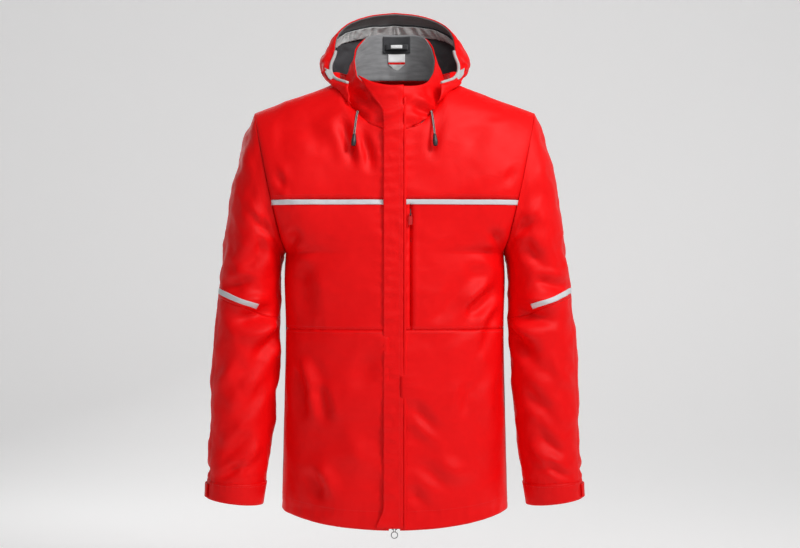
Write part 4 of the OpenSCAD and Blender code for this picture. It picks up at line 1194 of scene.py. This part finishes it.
def addSoftStrip(name, node, bodyName, material, slot, rounding, crease):
    piece = bpy.data.objects.new(name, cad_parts[node].data.copy())
    bpy.context.scene.collection.objects.link(piece)
    makeActive(piece)
    low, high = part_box(node)
    count = int((high[2] - low[2]) / (stripPitch * mm))

    def cutAcross():
        for i in range(1, count + 1):
            height = low[2] + i * (high[2] - low[2]) / (count + 1)
            bpy.ops.mesh.select_all(action="SELECT")
            bpy.ops.mesh.bisect(plane_co=(0, 0, height), plane_no=(0, 0, 1))
    editAll(lambda: bpy.ops.mesh.remove_doubles(threshold=0.000005),
            lambda: bpy.ops.mesh.dissolve_limited(angle_limit=math.radians(3)),
            lambda: bpy.ops.mesh.bevel(offset=rounding * mm, segments=2, affect="EDGES"), cutAcross)
    mesh = piece.data
    co = meshPoints(mesh)
    co[:, 1] += crease * mm * unevenness(np.stack([0 * co[:, 0], 0 * co[:, 0], co[:, 2] / mm], -1), 46, 4.0)
    mesh.vertices.foreach_set("co", co.ravel())
    while mesh.uv_layers:
        mesh.uv_layers.remove(mesh.uv_layers[0])
    layer = mesh.uv_layers.new(name="map")
    loops = np.empty(len(mesh.loops), int)
    mesh.loops.foreach_get("vertex_index", loops)
    layer.data.foreach_set("uv", np.stack([co[loops, 0] + co[loops, 1], co[loops, 2]], -1).ravel())
    bpy.ops.object.shade_smooth_by_angle(angle=math.radians(35))
    finishPiece(piece, material, bodyName, slot, node)


for stripName, strip in softStrips.items():
    addSoftStrip(stripName, *strip)
print("tapes and pads finished")


stitch = {"length": 3.0, "pitch": 4.2, "width": 0.75, "rise": 0.35, "lift": 0.1, "samples": 400}
# Where the rows run: shares of a piece's height, or of its width on the flap.
seamRows = {"lower": (0.093, 0.984), "chest": (0.024,), "yoke": (0.02,), "collar": (0.06, 0.93),
            "flap": (0.08, 0.8, 0.93), "cuff": (0.08, 0.9), "hood": (0.965,)}


# Lozenge stitches set along a line on a piece's surface.
def stitchRow(point, u0, v0, u1, v1):
    t = np.linspace(0, 1, stitch["samples"])
    run = runAlong(point(mix(u0, u1, t), mix(v0, v1, t)))
    middles = np.arange(stitch["pitch"], run[-1] - stitch["pitch"], stitch["pitch"])
    at = [np.interp(middles + shift, run, t) for shift in (-stitch["length"] / 2, 0, stitch["length"] / 2)]
    first, middle, last = [point(mix(u0, u1, a), mix(v0, v1, a)) for a in at]
    normal = surfaceNormal(point, mix(u0, u1, at[1]), mix(v0, v1, at[1]))
    side = np.cross(unit(last - first), normal) * stitch["width"] / 2
    centre, sunk, rise = middle + normal * stitch["lift"], normal * stitch["lift"], normal * stitch["rise"]
    return np.stack([first - sunk, last - sunk, centre + side, centre - side,
                     centre + rise, centre - rise], 1)


def addStitches(name, rows, bodyName):
    verts = np.concatenate(rows)
    count = len(verts)
    one = np.array([(0, 2, 4), (2, 1, 4), (1, 3, 4), (3, 0, 4), (2, 0, 5), (1, 2, 5), (3, 1, 5), (0, 3, 5)])
    faces = (one[None] + 6 * np.arange(count)[:, None, None]).reshape(-1, 3)
    corners = np.array([(0, 0), (0.003, 0), (0.0015, 0.0006), (0.0015, 0), (0.0015, 0.0003),
                        (0.0015, 0.0003)])
    piece = newPiece(name, verts.reshape(-1, 3), faces.tolist(), np.tile(corners[one.ravel()], (count, 1)))
    editAll(faceOutwards)
    finishPiece(piece, redThread, bodyName, "red_shell")


def sewRows():
    rows = []
    for side in (1, -1):
        for back in (False, True):
            start = 0 if back else body["frontGap"]
            panels = {"lower": bodyPlace(start, None, body["hem"], body["waist"], side, back),
                      "chest": bodyPlace(start, None, body["waist"], body["yoke"], side, back),
                      "yoke": yokePlace(start, side, back)}
            for part, place in panels.items():
                rows += [stitchRow(drapedBody(place, back), 0.005, v, 0.995, v) for v in seamRows[part]]
    onCollar = collarShape(0.0, 1.0, collar["start"], 0)
    rows += [stitchRow(onCollar, 0.01, v, 0.99, v) for v in seamRows["collar"]]
    addStitches("bodyStitches", rows, "root")
    onFlap = flapShape()
    addStitches("flapStitches", [stitchRow(onFlap, u, 0.01, u, 0.985) for u in seamRows["flap"]], "flap")
    for side in (1, -1):
        rows = [stitchRow(cuffShape(side), 0, v, 1, v) for v in seamRows["cuff"]]
        addStitches("cuffStitches_" + sideName(side), rows, "forearm_" + sideName(side))
    onHood = hoodShape(1.0, -1.0, 0.0, 0.86)
    addStitches("hoodStitches", [stitchRow(onHood, 0.02, v, 0.98, v) for v in seamRows["hood"]], "hood")


sewRows()
print("stitched")

# The frame's hard pieces are kept as they are and get their finishes.
finishes = {
    "plastic": (blackPlastic, ["eyelets", "cord_locks", "lock_button_right", "lock_button_left"]),
    "teeth": (zipPlastic, ["zip_teeth", "pocket_teeth", "pocket_slider"]),
    "painted": (redPlastic, ["pocket_puller"]),
    "metal": (zipMetal, ["zip_stops", "upper_slider", "upper_puller", "lower_slider", "ring_puller"]),
}
for material, names in finishes.values():
    for nodeName in names:
        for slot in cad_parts[nodeName].material_slots:
            slot.material = material


# Place, size, power and what the light points at.
lights = {
    "keyLight": ((1500, -1350, 2050), (700, 700), 38, (40, 0, 640)),
    "fillLight": ((-500, -2400, 1100), (1100, 1100), 3.5, (0, 0, 600)),
    "topLight": ((220, -900, 1500), (800, 600), 5.5, (0, 0, 700)),
    "backLight": ((-900, 1900, 1300), (1200, 1200), 9, (0, 0, 420)),
}
backdrop = {"wide": 16000, "long": 14000, "front": 6000, "flat": 7500, "bend": 3000, "setBack": 1400,
            "rise": 3500, "steepness": 1.2, "low": -250, "strips": 60, "shade": 0.9, "rough": 0.8,
            "glow": 0.26, "worldGlow": 0.15}


def addLight(name, place, size, power, target):
    spot, aim = Vector(toFrame(place)), Vector(toFrame(target))
    turn = (aim - spot).to_track_quat("-Z", "Y").to_euler()
    bpy.ops.object.light_add(type="AREA", location=spot, rotation=turn)
    lamp = bpy.context.object
    lamp.name = name
    lamp.data.shape = "RECTANGLE"
    lamp.data.size, lamp.data.size_y = size[0] * mm, size[1] * mm
    lamp.data.energy = power


def addBackdrop():
    bpy.ops.mesh.primitive_grid_add(x_subdivisions=2, y_subdivisions=backdrop["strips"], size=1)
    floor = bpy.context.object
    floor.name = "studioFloor"
    for vertex in floor.data.vertices:
        along = (vertex.co.y + 0.5) * backdrop["long"]
        bend = min(max((along - backdrop["flat"]) / backdrop["bend"], 0), 1)
        height = backdrop["low"] + backdrop["rise"] * bend**3 * backdrop["steepness"]
        back = along - backdrop["front"] - backdrop["setBack"] * bend * bend
        vertex.co = toFrame((vertex.co.x * backdrop["wide"], back, height))
    bpy.ops.object.shade_smooth()
    pale = bpy.data.materials.new("paleFloor")
    pale.use_nodes = True
    look = {"Base Color": (*[backdrop["shade"]] * 3, 1), "Roughness": backdrop["rough"],
            "Emission Color": (1, 1, 1, 1), "Emission Strength": backdrop["glow"]}
    for label, value in look.items():
        pale.node_tree.nodes["Principled BSDF"].inputs[label].default_value = value
    floor.data.materials.append(pale)


def addStudio():
    clearSelection()
    for name, light in lights.items():
        addLight(name, *light)
    addBackdrop()
    world = bpy.data.worlds.new("studioWorld")
    bpy.context.scene.world = world
    world.use_nodes = True
    world.node_tree.nodes["Background"].inputs["Color"].default_value = (1, 1, 1, 1)
    world.node_tree.nodes["Background"].inputs["Strength"].default_value = backdrop["worldGlow"]
    bpy.context.scene.view_settings.view_transform = "Standard"


addStudio()
print("studio lit")
